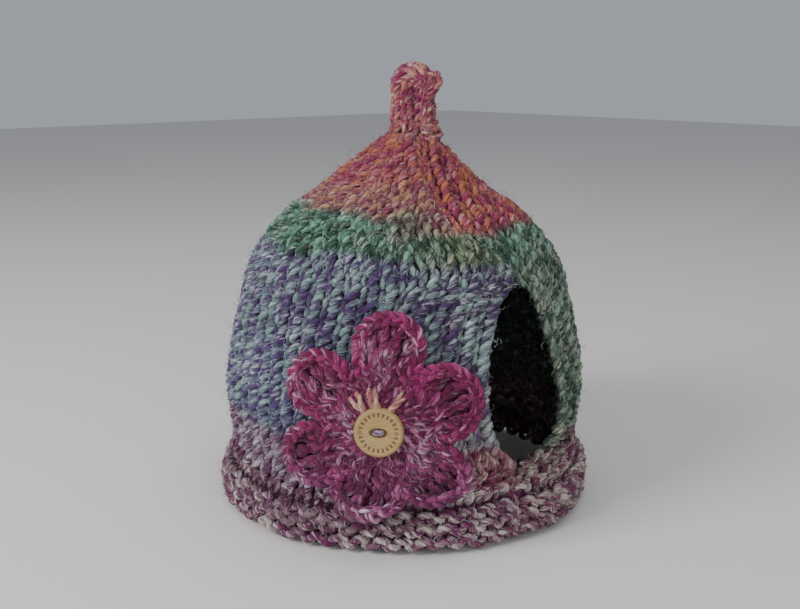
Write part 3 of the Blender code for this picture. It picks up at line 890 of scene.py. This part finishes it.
PURPLE_WOOL = spun_wool("purple sewing yarn", ((0.15, 0.07, 0.14), (0.36, 0.25, 0.34), (0.58, 0.50, 0.56)))


def shadow_wool(name, colour):
    """Painted shade for the dark sheets and cores inside the yarn, seen between stitches."""
    paint = Paint(name)
    grain = paint.noise(900.0, 2.0)
    if callable(colour):
        colour = paint.shade(colour(paint), 0.4)
    return paint.finish(paint.shade(colour, grain * 0.8 + 0.6), grain, 0.95)


# The two knitted panels


def shade_sheet(name, front, material):
    """A thin closed sheet in the middle of a panel's stitches, in painted shade that shows dark between them.
    """
    across, up = SHADE_SHEET_GRID
    lengths = np.linspace(2.0, LENGTH - 1.0, up)
    sheets = []
    for out in (SHADE_SHEET_HALF, -SHADE_SHEET_HALF):
        rows = []
        for along in lengths:
            inset = 1.4 / float(panel_width(along))
            share = inset + np.linspace(0.0, 1.0, across) * (1 - 2 * inset)
            rows.append(cloth_place(share, np.full(across, along), np.full(across, out), front))
        sheets.append(np.concatenate(rows))
    count = across * up
    faces = []
    for i in range(up - 1):
        for j in range(across - 1):
            a = i * across + j
            quad = (a, a + 1, a + across + 1, a + across)
            over, under = quad[::-1] if front else quad, quad if front else quad[::-1]
            faces.append(over)
            faces.append(tuple(v + count for v in under))
    rim = list(range(across)) + [i * across + across - 1 for i in range(1, up)]
    rim += [(up - 1) * across + j for j in range(across - 2, -1, -1)]
    rim += [i * across for i in range(up - 2, 0, -1)]
    for a, b in zip(rim, rim[1:] + rim[:1]):
        side = (a, b, b + count, a + count)
        faces.append(side if front else side[::-1])
    return mesh_object(name, np.concatenate(sheets), faces, material)


def wound(along, k):
    """The turn in radians, at lengths along it, of strand k of a two-strand plait that runs up a panel."""
    return 2 * math.pi * along / (2 * ROW_PITCH) + math.pi * k


def edge_strands(seed, front):
    """The chained edge stitches along a panel's two side openings."""
    rng = np.random.default_rng(seed)
    strands = []
    for low, high, narrow in EDGE_RUNS:
        ends = np.interp((low, high), LINE_HEIGHT, LINE_LENGTH)
        count = int((ends[1] - ends[0]) / EDGE_STEP)
        along = np.linspace(ends[0], ends[1], count)
        for k in range(2):
            way = wound(along, k)
            from_edge = 1.9 + 0.8 * np.sin(way) + rng.normal(0.0, 0.12, count)
            share = from_edge / panel_width(along)
            share = 1 - share if narrow else share
            out = 0.3 + 0.9 * np.cos(way)
            points = cloth_place(share, along, out, front)
            radius = uneven_radius(rng, count, EDGE_YARN_RADIUS, 0.05)
            strands.append(strand(points, radius, start=600.0 * k + 70.0 * seed))
    return strands


def seam_strands(seed):
    """The plaited stitches that join the two panels above and below their openings."""
    rng = np.random.default_rng(seed + 9)
    strands = []
    for low, high, narrow in SEAM_RUNS:
        ends = np.interp((low, high), LINE_HEIGHT, LINE_LENGTH)
        along = np.linspace(ends[0], ends[1], int((ends[1] - ends[0]) / SEAM_STEP))
        for k in range(2):
            way = wound(along, k)
            sideways = 1.3 * np.sin(way) + rng.normal(0.0, 0.1, len(along))
            share = sideways / np.maximum(panel_width(along), 14.0)
            share = 1 + share if narrow else share
            points = cloth_place(share, along, 0.5 + 0.8 * np.cos(way), True)
            strands.append(strand(points, SEAM_YARN_RADIUS, start=900.0 + 7.0 * low + 170.0 * k))
    return strands


def decrease_lines(seed, front):
    """The raised lines of paired stitches where the crown's rows lose stitches."""
    rng = np.random.default_rng(seed + 5)
    strands = []
    first = float(np.interp(DECREASE_FROM, LINE_HEIGHT, LINE_LENGTH))
    along = np.linspace(first, LENGTH - 2.5, 70)
    for sector in range(1, CROWN_SECTORS):
        for k in range(2):
            way = wound(along, k)
            sideways = 1.5 * np.sin(way) + rng.normal(0.0, 0.1, len(along))
            share = sector / CROWN_SECTORS + sideways / np.maximum(panel_width(along), 18.0)
            points = cloth_place(share, along, 1.0 + 0.8 * np.cos(way), front)
            start = 500.0 * sector + 170.0 * k + 40.0 * seed
            strands.append(strand(points, SEAM_YARN_RADIUS, start))
    return strands


def knitted_panel(name, front, seed, wool, halo, colours, fibres_per_cm):
    """One panel: its yarn in two pieces, its edges, its loose fibres and its sheet of painted shade."""
    rows = row_plan()
    pieces = []
    for k, (label, part) in enumerate((("lower", rows[:LOWER_ROWS]), ("upper", rows[LOWER_ROWS:]))):
        rng = np.random.default_rng(seed + 50 + k)
        points, depth = knit(seed + k, front, part)
        radius = uneven_radius(rng, len(points), YARN_RADIUS, 0.06) * (1.06 + 0.16 * depth)
        # Painted shade: the yarn is painted darker where it lies deep in the stitches.
        line = strand(points, radius, start=4000.0 * k, painted_light_shade=0.75 * depth)
        pieces.append(yarn(f"{name}_{label}_yarn", [line], wool))
    edging = edge_strands(seed, front) + decrease_lines(seed, front)
    if front:
        edging += seam_strands(seed)
    pieces.append(yarn(f"{name}_edge_yarn", edging, wool))
    pieces.append(fuzz(f"{name}_fuzz", pieces, halo, seed, fibres_per_cm))
    # Painted shade: a dark sheet in the middle of the panel, seen between the stitches.
    cloth = shade_sheet(f"{name}_cloth", front, shadow_wool(f"{name} shade", colours[0]))
    place_pieces([cloth, *pieces], name)
    width = max(float(panel_width(s)) for s in np.linspace(0, LENGTH, 60))
    area = float(np.mean([panel_width(s) for s in np.linspace(0, LENGTH, 200)])) * LENGTH
    LENGTH * MM
    area * MM * MM


knitted_panel("front_panel", True, 11, FRONT_WOOL, FRONT_HALO, FRONT_COLOURS, 3.1)
knitted_panel("back_panel", False, 21, BACK_WOOL, BACK_HALO, BACK_COLOURS, 1.7)

# The knitted loop on top

# The cord's radius, the spacing of its two legs, its middle's distance from the axis, and its top.
KNOT_LEG = 6.0
KNOT_SPACING = 9.0
KNOT_CENTRE = 4.4
KNOT_TOP = 205.2
# How deep its ends are sewn in, stitches round the cord, and the height of a round.
KNOT_DEPTH = 2.5
KNOT_STITCHES = 5
KNOT_PITCH = 4.9
SEWING_RADIUS = 1.5
# The sewing strands round its foot: height and reach.
SEWING = ((174.6, 11.6), (177.4, 10.8), (171.6, 13.0))
# The small loop at its top right, as points across, towards the front and up.
NUB = (
    (5.0, 4.4, 188.5),
    (9.0, 4.0, 191.5),
    (12.0, 1.8, 196.0),
    (11.0, 0.5, 199.6),
    (7.0, 2.6, 199.0),
    (4.0, 4.6, 193.5),
)


def knot_frame():
    """The topknot's middle, and its directions across both legs and towards the front, as numpy vectors."""
    turn = math.radians(LEAN_DIRECTION)
    across = np.array([math.cos(turn), math.sin(turn), 0.0])
    front = np.array([math.sin(turn), -math.cos(turn), 0.0])
    return across * KNOT_CENTRE, across, front


def knot_path(far):
    """The bent cord's line at lengths far along it: across, height, outward direction and full length."""
    half = KNOT_SPACING / 2
    bend = KNOT_TOP - KNOT_LEG - half
    leg = bend - TOP + KNOT_DEPTH
    arch = math.pi * half
    turn = np.clip((far - leg) / half, 0.0, math.pi)
    down = np.maximum(far - leg - arch, 0.0)
    across = -half * np.cos(turn)
    height = np.where(far < leg, TOP - KNOT_DEPTH + far, bend + half * np.sin(turn)) - down
    return across, height, -np.cos(turn), np.sin(turn), 2 * leg + arch


def knot_cord(share, far, out):
    """Points on the cord's surface: share of a turn round it, length far along it, and out from its layer."""
    middle, across, front = knot_frame()
    at, height, out_across, out_up, _ = knot_path(far)
    turn = 2 * math.pi * share
    round_off = 0.35 * np.sin(height * 0.42 + 1.0)
    radius = KNOT_LEG - YARN_RADIUS * 0.95 - 0.2 + out + round_off
    flare = 1.5 * (1 - ease(TOP, TOP + 7, height))
    sideways = at + np.cos(turn) * out_across * (radius + flare)
    up = height + np.cos(turn) * out_up * radius
    depth = np.sin(turn) * (radius + flare * 0.5)
    level = middle + sideways[:, None] * across + depth[:, None] * front
    return level + up[:, None] * np.array([0, 0, 1.0])


def knit_cord(seed):
    """The cord's stitches, knitted round and round in one spiral."""
    rng = np.random.default_rng(seed)
    length = float(knot_path(np.array([0.0]))[4])
    count = int(length / KNOT_PITCH * KNOT_STITCHES) - KNOT_STITCHES
    at = np.arange(count * STEPS + 1) / STEPS
    turn = at % 1.0
    wobble = np.interp(at, np.linspace(0, count, 2 * count + 1), rng.normal(0.0, 0.35, 2 * count + 1))
    share = (at + 0.25 * np.sin(4 * math.pi * turn)) / KNOT_STITCHES
    far = KNOT_PITCH * (0.9 + at / KNOT_STITCHES) - 4.2 * np.cos(2 * math.pi * turn) + wobble
    out = -1.1 * np.cos(4 * math.pi * turn) + wobble * 0.4
    points = knot_cord(share, np.clip(far, 0.0, length), out)
    return strand(points, uneven_radius(rng, len(points), YARN_RADIUS * 0.94, 0.05))


def knot_local(points):
    """Points given as across, towards the front, and height."""
    middle, across, front = knot_frame()
    return np.array([middle + a * across + f * front + np.array([0, 0, h]) for a, f, h in points])


def smooth_line(points, count):
    """A smooth line of count points through a few given ones."""
    points = np.asarray(points, float)
    t = np.arange(len(points))
    curves = [Curve(list(zip(t, points[:, k]))) for k in range(3)]
    fine = np.linspace(0, len(points) - 1, count)
    return np.stack([curve(fine) for curve in curves], axis=-1)


def knot_sewing():
    """The loop that sticks out at the top right, and the strands that sew the foot down."""
    strands = [strand(smooth_line(knot_local(NUB), 40), 1.9)]
    for k, (height, reach) in enumerate(SEWING):
        wrap = []
        for turn in np.linspace(-30, 70, 9):
            a = math.radians(turn)
            up = height - 0.02 * turn + 0.6 * math.sin(a * 3 + k)
            wrap.append((reach * math.cos(a), (reach - 4.6) * math.sin(a), up))
        strands.append(strand(smooth_line(knot_local(wrap), 40), SEWING_RADIUS, start=90.0 * k))
    return strands


def knot_shade_core():
    """A closed tube inside the cord, in painted shade, seen dark between its stitches."""
    length = float(knot_path(np.array([0.0]))[4])
    rings, sides = 40, 16
    far = np.repeat(np.linspace(0.5, length - 0.5, rings), sides)
    share = np.tile(np.arange(sides) / sides, rings)
    points = knot_cord(share, far, np.full(len(far), -0.7))
    shade = shadow_wool("topknot shade", (0.09, 0.03, 0.05))
    return tube_object("topknot_shade_core", points, rings, sides, shade)


def tube_object(name, points, rings, sides, material):
    """A closed tube from rings of points."""
    faces = []
    for i in range(rings - 1):
        for j in range(sides):
            k = (j + 1) % sides
            faces.append((i * sides + j, i * sides + k, (i + 1) * sides + k, (i + 1) * sides + j))
    faces.append(tuple(range(sides))[::-1])
    faces.append(tuple(range((rings - 1) * sides, rings * sides)))
    made = mesh_object(name, points, faces, material)
    outward(made)
    return made


def outward(made):
    """Turns a closed mesh's faces outward."""
    mesh = bmesh.new()
    mesh.from_mesh(made.data)
    bmesh.ops.recalc_face_normals(mesh, faces=mesh.faces)
    mesh.to_mesh(made.data)
    mesh.free()


def topknot():
    knitting = yarn("topknot_yarn", [knit_cord(31), *knot_sewing()], KNOT_WOOL)
    core = knot_shade_core()
    loose = fuzz("topknot_fuzz", [knitting], KNOT_HALO, seed=7, per_square_cm=3.0, length=2.8)
    place_pieces([knitting, core, loose], "topknot")


topknot()

# The crochet flower

FLOWER_ANGLE = -48.3
FLOWER_HEIGHT = 57.0
FLOWER_LIFT = 2.6
# Each petal's direction in degrees, reach and width.
PETALS = (
    (84.0, 49.3, 30.8),
    (24.0, 44.0, 33.2),
    (-44.0, 44.4, 31.4),
    (-98.5, 42.0, 33.0),
    (204.4, 43.4, 29.6),
    (144.0, 44.7, 29.0),
)
# Where each petal's tall stitches stand, in degrees from its middle.
POSTS = (-47.0, -28.0, -9.0, 9.0, 28.0, 47.0)
# The pale strands' directions and reach.
PALE_STRANDS = ((57, 21.0), (65, 22.5), (93, 19.5), (100, 22.0), (121, 22.5), (130, 20.5))
# Rims and posts: yarn radius, painted light on the rims and painted shade on the posts, the length of a turn
# of their plait, and how far it sways and rises.
RIM_RADIUS = 1.75
RIM_PAINTED_LIGHT = 0.16
RIM_TURN = 13.0
RIM_SWAY = 1.7
RIM_DEPTH = 0.9
POST_RADIUS = 1.9
POST_PAINTED_SHADE = -0.18
POST_TURN = 14.0
POST_SWAY = 1.25
POST_DEPTH = 0.6
YARN_OVER_RADIUS = 1.5
FLOWER_SHADE_SHEET_THICK = 1.1
# The line that the flower lies on: height and radius.
FLOWER_BED_LINE = Curve(
    (
        (0.0, 92.9),
        (14.0, 92.9),
        (21.5, 90.4),
        (30.0, 88.0),
        (43.9, 87.3),
        (58.5, 87.4),
        (78.1, 84.8),
        (97.6, 80.6),
        (112.2, 77.2),
        (124.9, 69.0),
    )
)


def flower_place(across, up, lift):
    """Points on the flower, in mm: across and up from its centre, and out from the cloth."""
    across, up, lift = (np.asarray(v, float) for v in (across, up, lift))
    at = FLOWER_HEIGHT + up
    slope = (FLOWER_BED_LINE(at + 1) - FLOWER_BED_LINE(at - 1)) / 2
    tilt = np.hypot(1.0, slope)
    height = FLOWER_HEIGHT + up / (0.35 + 0.65 * tilt)
    angle = math.radians(FLOWER_ANGLE) + across / FLOWER_BED_LINE(FLOWER_HEIGHT)
    radius = FLOWER_BED_LINE(height) + lift / tilt
    height = height - lift * slope / tilt
    return np.stack((radius * np.cos(angle), radius * np.sin(angle), height), axis=-1)


def raised(far):
    """How far the petals lift off the cloth at a distance from the centre."""
    return 0.3 + FLOWER_LIFT * ease(18.0, 48.0, far)


def flat_strand(across, up, lift, sway, depth, turns, phase, radius, start, painted_light_shade=0.0):
    """A strand that winds beside a line on the flower: sway across it and depth above it."""
    across, up = np.asarray(across, float), np.asarray(up, float)
    dx, dy = np.gradient(across), np.gradient(up)
    size = np.maximum(np.hypot(dx, dy), 1e-6)
    way = turns + phase
    side = sway * np.sin(way)
    x = across - dy / size * side
    y = up + dx / size * side
    return strand(flower_place(x, y, lift + depth * np.sin(2 * way)), radius, start, painted_light_shade)


def even_line(points, count):
    """A line through a few points with count points spaced evenly along it."""
    points = np.asarray(points, float)
    length = np.concatenate(([0.0], np.cumsum(np.linalg.norm(np.diff(points, axis=0), axis=1))))
    curves = [Curve(list(zip(length, points[:, k]))) for k in range(points.shape[1])]
    return np.stack([curve(np.linspace(0, length[-1], count)) for curve in curves], axis=-1)


def petal_rim(petal, seed):
    """Three strands plaited round a petal's edge, as crochet's chain of loops looks."""
    direction, reach, width = petal
    half = width / 2
    turn = math.radians(direction)
    away = reach - half
    rim = half - 2.9

    def corner(centre, far, angle):
        way = turn + math.radians(angle)
        return centre * math.cos(turn) + far * math.cos(way), centre * math.sin(turn) + far * math.sin(way)

    arc = [corner(away, rim, angle) for angle in range(-105, 106, 15)]
    path = even_line([corner(0.0, 13.0, -26.0), *arc, corner(0.0, 13.0, 26.0)], 100)
    across, up = path[:, 0], path[:, 1]
    far = np.hypot(across, up)
    lift = raised(far) + 4.6 - 2.4 * (1 - ease(12.0, 26.0, far))
    run = np.concatenate(([0.0], np.cumsum(np.hypot(np.diff(across), np.diff(up)))))
    way = 2 * math.pi * run / RIM_TURN
    strands = []
    for k in range(3):
        phase = 2 * math.pi * k / 3 + seed
        start = 300.0 * seed + 110.0 * k
        plait = (RIM_SWAY, RIM_DEPTH, way, phase)
        strands.append(flat_strand(across, up, lift, *plait, RIM_RADIUS, start, RIM_PAINTED_LIGHT))
    return strands


def petal_posts(petal, seed):
    """The tall stitches that run from the flower's middle out to a petal's rim, each of two strands."""
    direction, reach, width = petal
    half = width / 2
    away = reach - half
    rng = np.random.default_rng(seed)
    strands = []
    turn = math.radians(direction)
    for k, off in enumerate(POSTS):
        inner = math.radians(direction + off * 0.62)
        end = math.radians(direction + off * 2.0)
        x0, y0 = 8.0 * math.cos(inner), 8.0 * math.sin(inner)
        x1 = away * math.cos(turn) + (half - 4.8) * math.cos(end)
        y1 = away * math.sin(turn) + (half - 4.8) * math.sin(end)
        t = np.linspace(0, 1, 34)
        bulge = rng.normal(0.0, 0.3)
        across = x0 + (x1 - x0) * t - (y1 - y0) / 20 * bulge * np.sin(math.pi * t)
        up = y0 + (y1 - y0) * t + (x1 - x0) / 20 * bulge * np.sin(math.pi * t)
        far = np.hypot(across, up)
        lift = raised(far) + 2.9 + 1.5 * np.sin(math.pi * t) + rng.normal(0.0, 0.35)
        run = t * math.hypot(x1 - x0, y1 - y0)
        way = 2 * math.pi * run / POST_TURN
        for ply in (0.0, math.pi):
            start = 97.0 * seed + 31.0 * k + ply
            plait = (POST_SWAY, POST_DEPTH, way, ply + k)
            strands.append(flat_strand(across, up, lift, *plait, POST_RADIUS, start, POST_PAINTED_SHADE))
        strands.append(wrapped_over(across, up, lift, 0.55 + rng.normal(0.0, 0.05), 77.0 * seed + 13.0 * k))
    return strands


def wrapped_over(across, up, lift, share, start):
    """A short strand laid slantwise over a post, as its yarn-over."""
    middle = int(share * (len(across) - 1))
    x, y, base = across[middle], up[middle], lift[middle]
    ahead = np.array([across[middle + 1] - across[middle - 1], up[middle + 1] - up[middle - 1]])
    ahead = ahead / np.hypot(*ahead)
    beside = np.array([-ahead[1], ahead[0]])
    t = np.linspace(-1, 1, 15)
    x = x + beside[0] * 2.7 * t + ahead[0] * 2.2 * t
    y = y + beside[1] * 2.7 * t + ahead[1] * 2.2 * t
    return strand(flower_place(x, y, base + 2.0 - 2.8 * t ** 2), YARN_OVER_RADIUS, start)


def centre_strands():
    """The pale strands that come out from under the button, the upper ones in pairs."""
    rng = np.random.default_rng(5)
    strands = []
    for direction, reach in PALE_STRANDS:
        turn = math.radians(direction + rng.normal(0, 1.5))
        t = np.linspace(0, 1, 18)
        far = 6.0 + (reach - 6.0) * t
        lift = 4.3 + 2.0 * np.sin(math.pi * np.clip(t * 1.05, 0, 1)) - 0.7 * t ** 3
        sway = 0.9 * np.sin(t * 4 + direction)
        x = far * math.cos(turn) - sway * math.sin(turn)
        y = far * math.sin(turn) + sway * math.cos(turn)
        strands.append(strand(flower_place(x, y, lift), 1.65 - 0.35 * t, 40.0 * direction))
    return strands


def flower_shade_sheet():
    """A thin closed sheet under the petals, out to just inside their rims, in painted shade that shows dark
    between the stitches.
    """
    sides, rings = 180, 12
    turns = np.linspace(0, 2 * math.pi, sides, endpoint=False)
    reach = np.full(sides, 17.0)
    for direction, far, width in PETALS:
        half, turn = width / 2, math.radians(direction)
        cx, cy = (far - half) * math.cos(turn), (far - half) * math.sin(turn)
        b = cx * np.cos(turns) + cy * np.sin(turns)
        root = b * b - (cx * cx + cy * cy - (half - 3.2) ** 2)
        reach = np.where((root > 0) & (b > 0), np.maximum(reach, b + np.sqrt(np.maximum(root, 0))), reach)
    points = []
    for top in (True, False):
        for share in np.linspace(1.0, 0.08, rings):
            far = reach * share
            lift = raised(far) + (FLOWER_SHADE_SHEET_THICK if top else 0.0)
            points.append(flower_place(far * np.cos(turns), far * np.sin(turns), lift))
    points = np.concatenate(points)
    faces = []
    for side in range(2):
        first = side * rings * sides
        for i in range(rings - 1):
            for j in range(sides):
                k = (j + 1) % sides
                a, b = first + i * sides, first + (i + 1) * sides
                faces.append((a + j, a + k, b + k, b + j))
        faces.append([first + (rings - 1) * sides + j for j in range(sides)])
    for j in range(sides):
        k = (j + 1) % sides
        faces.append((j, k, rings * sides + k, rings * sides + j))
    made = mesh_object("flower_shade_sheet", points, faces, shadow_wool("flower shade", (0.10, 0.012, 0.045)))
    outward(made)
    return made


def crochet_flower():
    """The flower: its yarn, the pale strands in its middle, its loose fibres and its sheet of painted shade.
    """
    strands = []
    for k, petal in enumerate(PETALS):
        strands += petal_rim(petal, k) + petal_posts(petal, k)
    petals = yarn("flower_yarn", strands, FLOWER_WOOL, turn_length=15.0, ply_depth=0.25)
    centre = yarn("flower_centre_yarn", centre_strands(), PEACH_WOOL)
    loose = fuzz("flower_fuzz", [petals], FLOWER_HALO, seed=9, per_square_cm=5.6, length=3.4)
    under = flower_shade_sheet()
    place_pieces([under, petals, centre, loose], "flower")


crochet_flower()

# The wooden button

BUTTON_RADIUS = 10.5
BUTTON_THICK = 4.0
BUTTON_EDGE = 1.2
BUTTON_TILT = 6.0
HOLE_RADIUS = 1.0
HOLE_SPACING = 3.8
# The hollow round both holes: its length, width and depth.
RECESS = (8.0, 4.0, 1.3)
# The burnt border: how many strokes make a whole round, its radius, and the radius of its two rings.
STROKES = 24
BORDER_RADIUS = 7.5
RING_RADIUS = 0.62
BRIDGE_YARN_RADIUS = 0.74


def button_place():
    """Where the button sits, in mm, with its face along local +Z."""
    seat = Matrix.Translation(Vector(flower_place(0.0, 0.0, 3.5)))
    turned = Matrix.Rotation(math.radians(FLOWER_ANGLE + 90), 4, "Z")
    turned = turned @ Matrix.Rotation(math.radians(90 - BUTTON_TILT), 4, "X")
    return seat @ turned @ Matrix.Translation((0.0, 0.0, 0.3))


def wood():
    """Pale turned wood with its grain, a border of small burnt strokes and two rings, and painted shade in
    the hollow round the holes.
    """
    paint = Paint("pale wood")
    place = button_place()
    centre = tuple(place.translation * MM)
    from_centre = paint.node("ShaderNodeVectorMath", {"operation": "SUBTRACT"}, i0=paint.spot, i1=centre)

    def along(axis):
        way = tuple(place.col[axis][:3])
        dot = {"operation": "DOT_PRODUCT"}
        far = paint.node("ShaderNodeVectorMath", dot, output="Value", i0=from_centre, i1=way)
        return paint.number(far) * 1000.0

    u, v, w = along(0), along(1), along(2)
    grain = paint.noise(0.55, 3.0, paint.vector(u * 0.35, v * 2.6, w * 1.2))
    pores = paint.noise(2.2, 2.0, paint.vector(u * 0.3, v * 3.2, w))
    colour = paint.mix((0.335, 0.235, 0.098), (0.275, 0.182, 0.07), grain.smooth(0.35, 0.7))
    colour = paint.mix(colour, (0.30, 0.17, 0.07), pores.smooth(0.62, 0.72) * 0.2)
    radius = (u * u + v * v) ** 0.5
    around = v.atan2(u) * (STROKES / (2 * math.pi)) + 50.5
    part = around - around.math("FLOOR")
    face = w.smooth(3.0, 3.6)
    border = abs(radius - BORDER_RADIUS).smooth(1.0, 0.75) * abs(v).smooth(1.4, 1.7)
    stroke = abs(part - 0.5).smooth(0.30, 0.20) * border
    sideways = abs(u) - BORDER_RADIUS
    beside = (sideways * sideways + v * v) ** 0.5
    burnt = (stroke + abs(beside - RING_RADIUS).smooth(0.26, 0.12)).clamp() * face
    groove = abs(radius - 9.5).smooth(0.16, 0.05) * face
    # Painted shade: the hollow round the holes is painted darker.
    hollow = w.smooth(3.72, 3.1) * radius.smooth(5.4, 4.6)
    colour = paint.mix(colour, (0.15, 0.085, 0.04), hollow * 0.85)
    colour = paint.mix(colour, (0.10, 0.04, 0.018), burnt * 0.85)
    colour = paint.mix(colour, (0.33, 0.19, 0.08), groove * 0.5)
    relief = grain * 0.4 + pores * 0.3 - burnt * 0.6 - groove * 0.6
    return paint.finish(colour, relief, roughness=0.48, strength=0.3, distance=0.0002, coat=0.12)


def lathed(outline, sides):
    """Rings of points and faces for a shape turned about Z, from its outline's radius and height."""
    points, faces = [], []
    for radius, height in outline:
        for j in range(sides):
            turn = 2 * math.pi * j / sides
            points.append((radius * math.cos(turn), radius * math.sin(turn), height))
    for i in range(len(outline) - 1):
        for j in range(sides):
            k = (j + 1) % sides
            faces.append((i * sides + j, i * sides + k, (i + 1) * sides + k, (i + 1) * sides + j))
    faces.append(tuple(range(sides))[::-1])
    faces.append(tuple(range((len(outline) - 1) * sides, len(outline) * sides)))
    return points, faces


def put(points, place):
    return [tuple(place @ Vector(p)) for p in points]


def wooden_button():
    """The turned button, with its hollow and two holes cut and its edges softened."""
    place = button_place()
    inner = BUTTON_RADIUS - BUTTON_EDGE
    outline = [(inner - 0.6, 0.0)]
    for i in range(9):
        bow = math.radians(-90 + 180 * i / 8)
        outline.append((inner + BUTTON_EDGE * math.cos(bow), BUTTON_THICK / 2 * (1 + math.sin(bow))))
    outline.append((BUTTON_RADIUS - 1.9, BUTTON_THICK - 0.02))
    outline.append((BUTTON_RADIUS - 2.3, BUTTON_THICK - 0.18))
    outline.append((6.0, BUTTON_THICK - 0.2))
    points, faces = lathed(outline, 96)
    made = mesh_object("button_wood", put(points, place), faces, wood(), smooth=False)
    outward(made)
    cutters = []
    for way in (-1, 1):
        points, faces = lathed([(HOLE_RADIUS, -3.0), (HOLE_RADIUS, 8.0)], 28)
        points = [(x + way * HOLE_SPACING / 2, y, z) for x, y, z in points]
        cutters.append(mesh_object("hole cutter", put(points, place), faces))
    long, wide, deep = RECESS
    bowl = [
        (0.33, BUTTON_THICK - deep),
        (0.44, BUTTON_THICK - deep * 0.85),
        (0.5, BUTTON_THICK - deep * 0.55),
        (0.5, BUTTON_THICK + 1.0),
    ]
    points, faces = lathed(bowl, 48)
    points = [(x * long, y * wide, z) for x, y, z in points]
    cutters.append(mesh_object("recess cutter", put(points, place), faces))
    for cutter in cutters:
        outward(cutter)
        cut = made.modifiers.new("cut", "BOOLEAN")
        cut.object, cut.operation, cut.solver = cutter, "DIFFERENCE", "EXACT"
    soften = made.modifiers.new("soften", "BEVEL")
    soften.width, soften.segments = 0.16 * MM, 2
    soften.limit_method, soften.angle_limit = "ANGLE", math.radians(35)
    mesh = bpy.data.meshes.new_from_object(made.evaluated_get(bpy.context.evaluated_depsgraph_get()))
    made.modifiers.clear()
    made.data = mesh
    mesh.set_sharp_from_angle(angle=math.radians(40))
    for cutter in cutters:
        bpy.data.objects.remove(cutter)
    return made


def bridge_yarn():
    """Two strands through the button's holes, side by side over the bridge between them."""
    place = button_place()
    half = HOLE_SPACING / 2
    crest = BUTTON_THICK - RECESS[2] + 0.3 + 0.7
    strands = []
    for k, side in enumerate((-0.42, 0.42)):
        path = [
            (half, side, 0.2),
            (half, side, 2.0),
            (half - 0.25, side * 1.1, crest - 0.35),
            (half - 1.0, side * 1.2, crest + 0.05),
        ]
        path += [(0.0, side * 1.3, crest + 0.12)] + [(-x, y, z) for x, y, z in reversed(path)]
        line = smooth_line(np.array(put(path, place)), 44)
        strands.append(strand(line, BRIDGE_YARN_RADIUS, start=20.0 * k))
    return yarn("button_bridge_yarn", strands, PURPLE_WOOL, turn_length=4.5, sides=10)


place_pieces([wooden_button()], "button")
place_pieces([bridge_yarn()], "button_yarn")

# Floor, light and camera


def stage():
    """A pale plain floor and soft studio light."""
    paint = Paint("plain floor")
    floor = mesh_object(
        "floor",
        [(-3000, -3000, 0), (3000, -3000, 0), (3000, 3000, 0), (-3000, 3000, 0)],
        [(0, 1, 2, 3)],
        paint.finish((0.70, 0.68, 0.65, 1.0), None, 0.8),
    )
    world = bpy.data.worlds.new("soft room light")
    world.use_nodes = True
    sky = world.node_tree.nodes["Background"]
    sky.inputs[0].default_value = (0.86, 0.90, 1.0, 1.0)
    sky.inputs[1].default_value = 0.42
    bpy.context.scene.world = world
    for label, place, size, power in (
        ("window light", (-0.15, -1.05, 0.75), 0.5, 12.5),
        ("soft fill", (0.95, -0.6, 0.3), 0.9, 6.5),
        ("top light", (0.1, 0.1, 1.3), 0.9, 4.5),
    ):
        lamp = bpy.data.lights.new(label, "AREA")
        lamp.size, lamp.energy = size, power
        holder = bpy.data.objects.new(label, lamp)
        holder.location = place
        holder.rotation_euler = (Vector((0, 0, 0.09)) - Vector(place)).to_track_quat("-Z", "Y").to_euler()
        bpy.context.scene.collection.objects.link(holder)


def camera():
    """The camera at the photograph's angle."""
    lens = bpy.data.cameras.new("camera")
    lens.lens, lens.sensor_width = 47.2, 36.0
    lens.shift_x = -0.00475
    lens.clip_start, lens.clip_end = 0.01, 20.0
    eye = bpy.data.objects.new("camera", lens)
    turn, pitch, far = math.radians(-42.0), math.radians(12.96), 0.5
    eye.location = (far * math.cos(turn), far * math.sin(turn), 0.2047)
    ahead = Vector((-math.cos(turn) * math.cos(pitch), -math.sin(turn) * math.cos(pitch), -math.sin(pitch)))
    eye.rotation_euler = ahead.to_track_quat("-Z", "Y").to_euler()
    bpy.context.scene.collection.objects.link(eye)
    bpy.context.scene.camera = eye


stage()
camera()
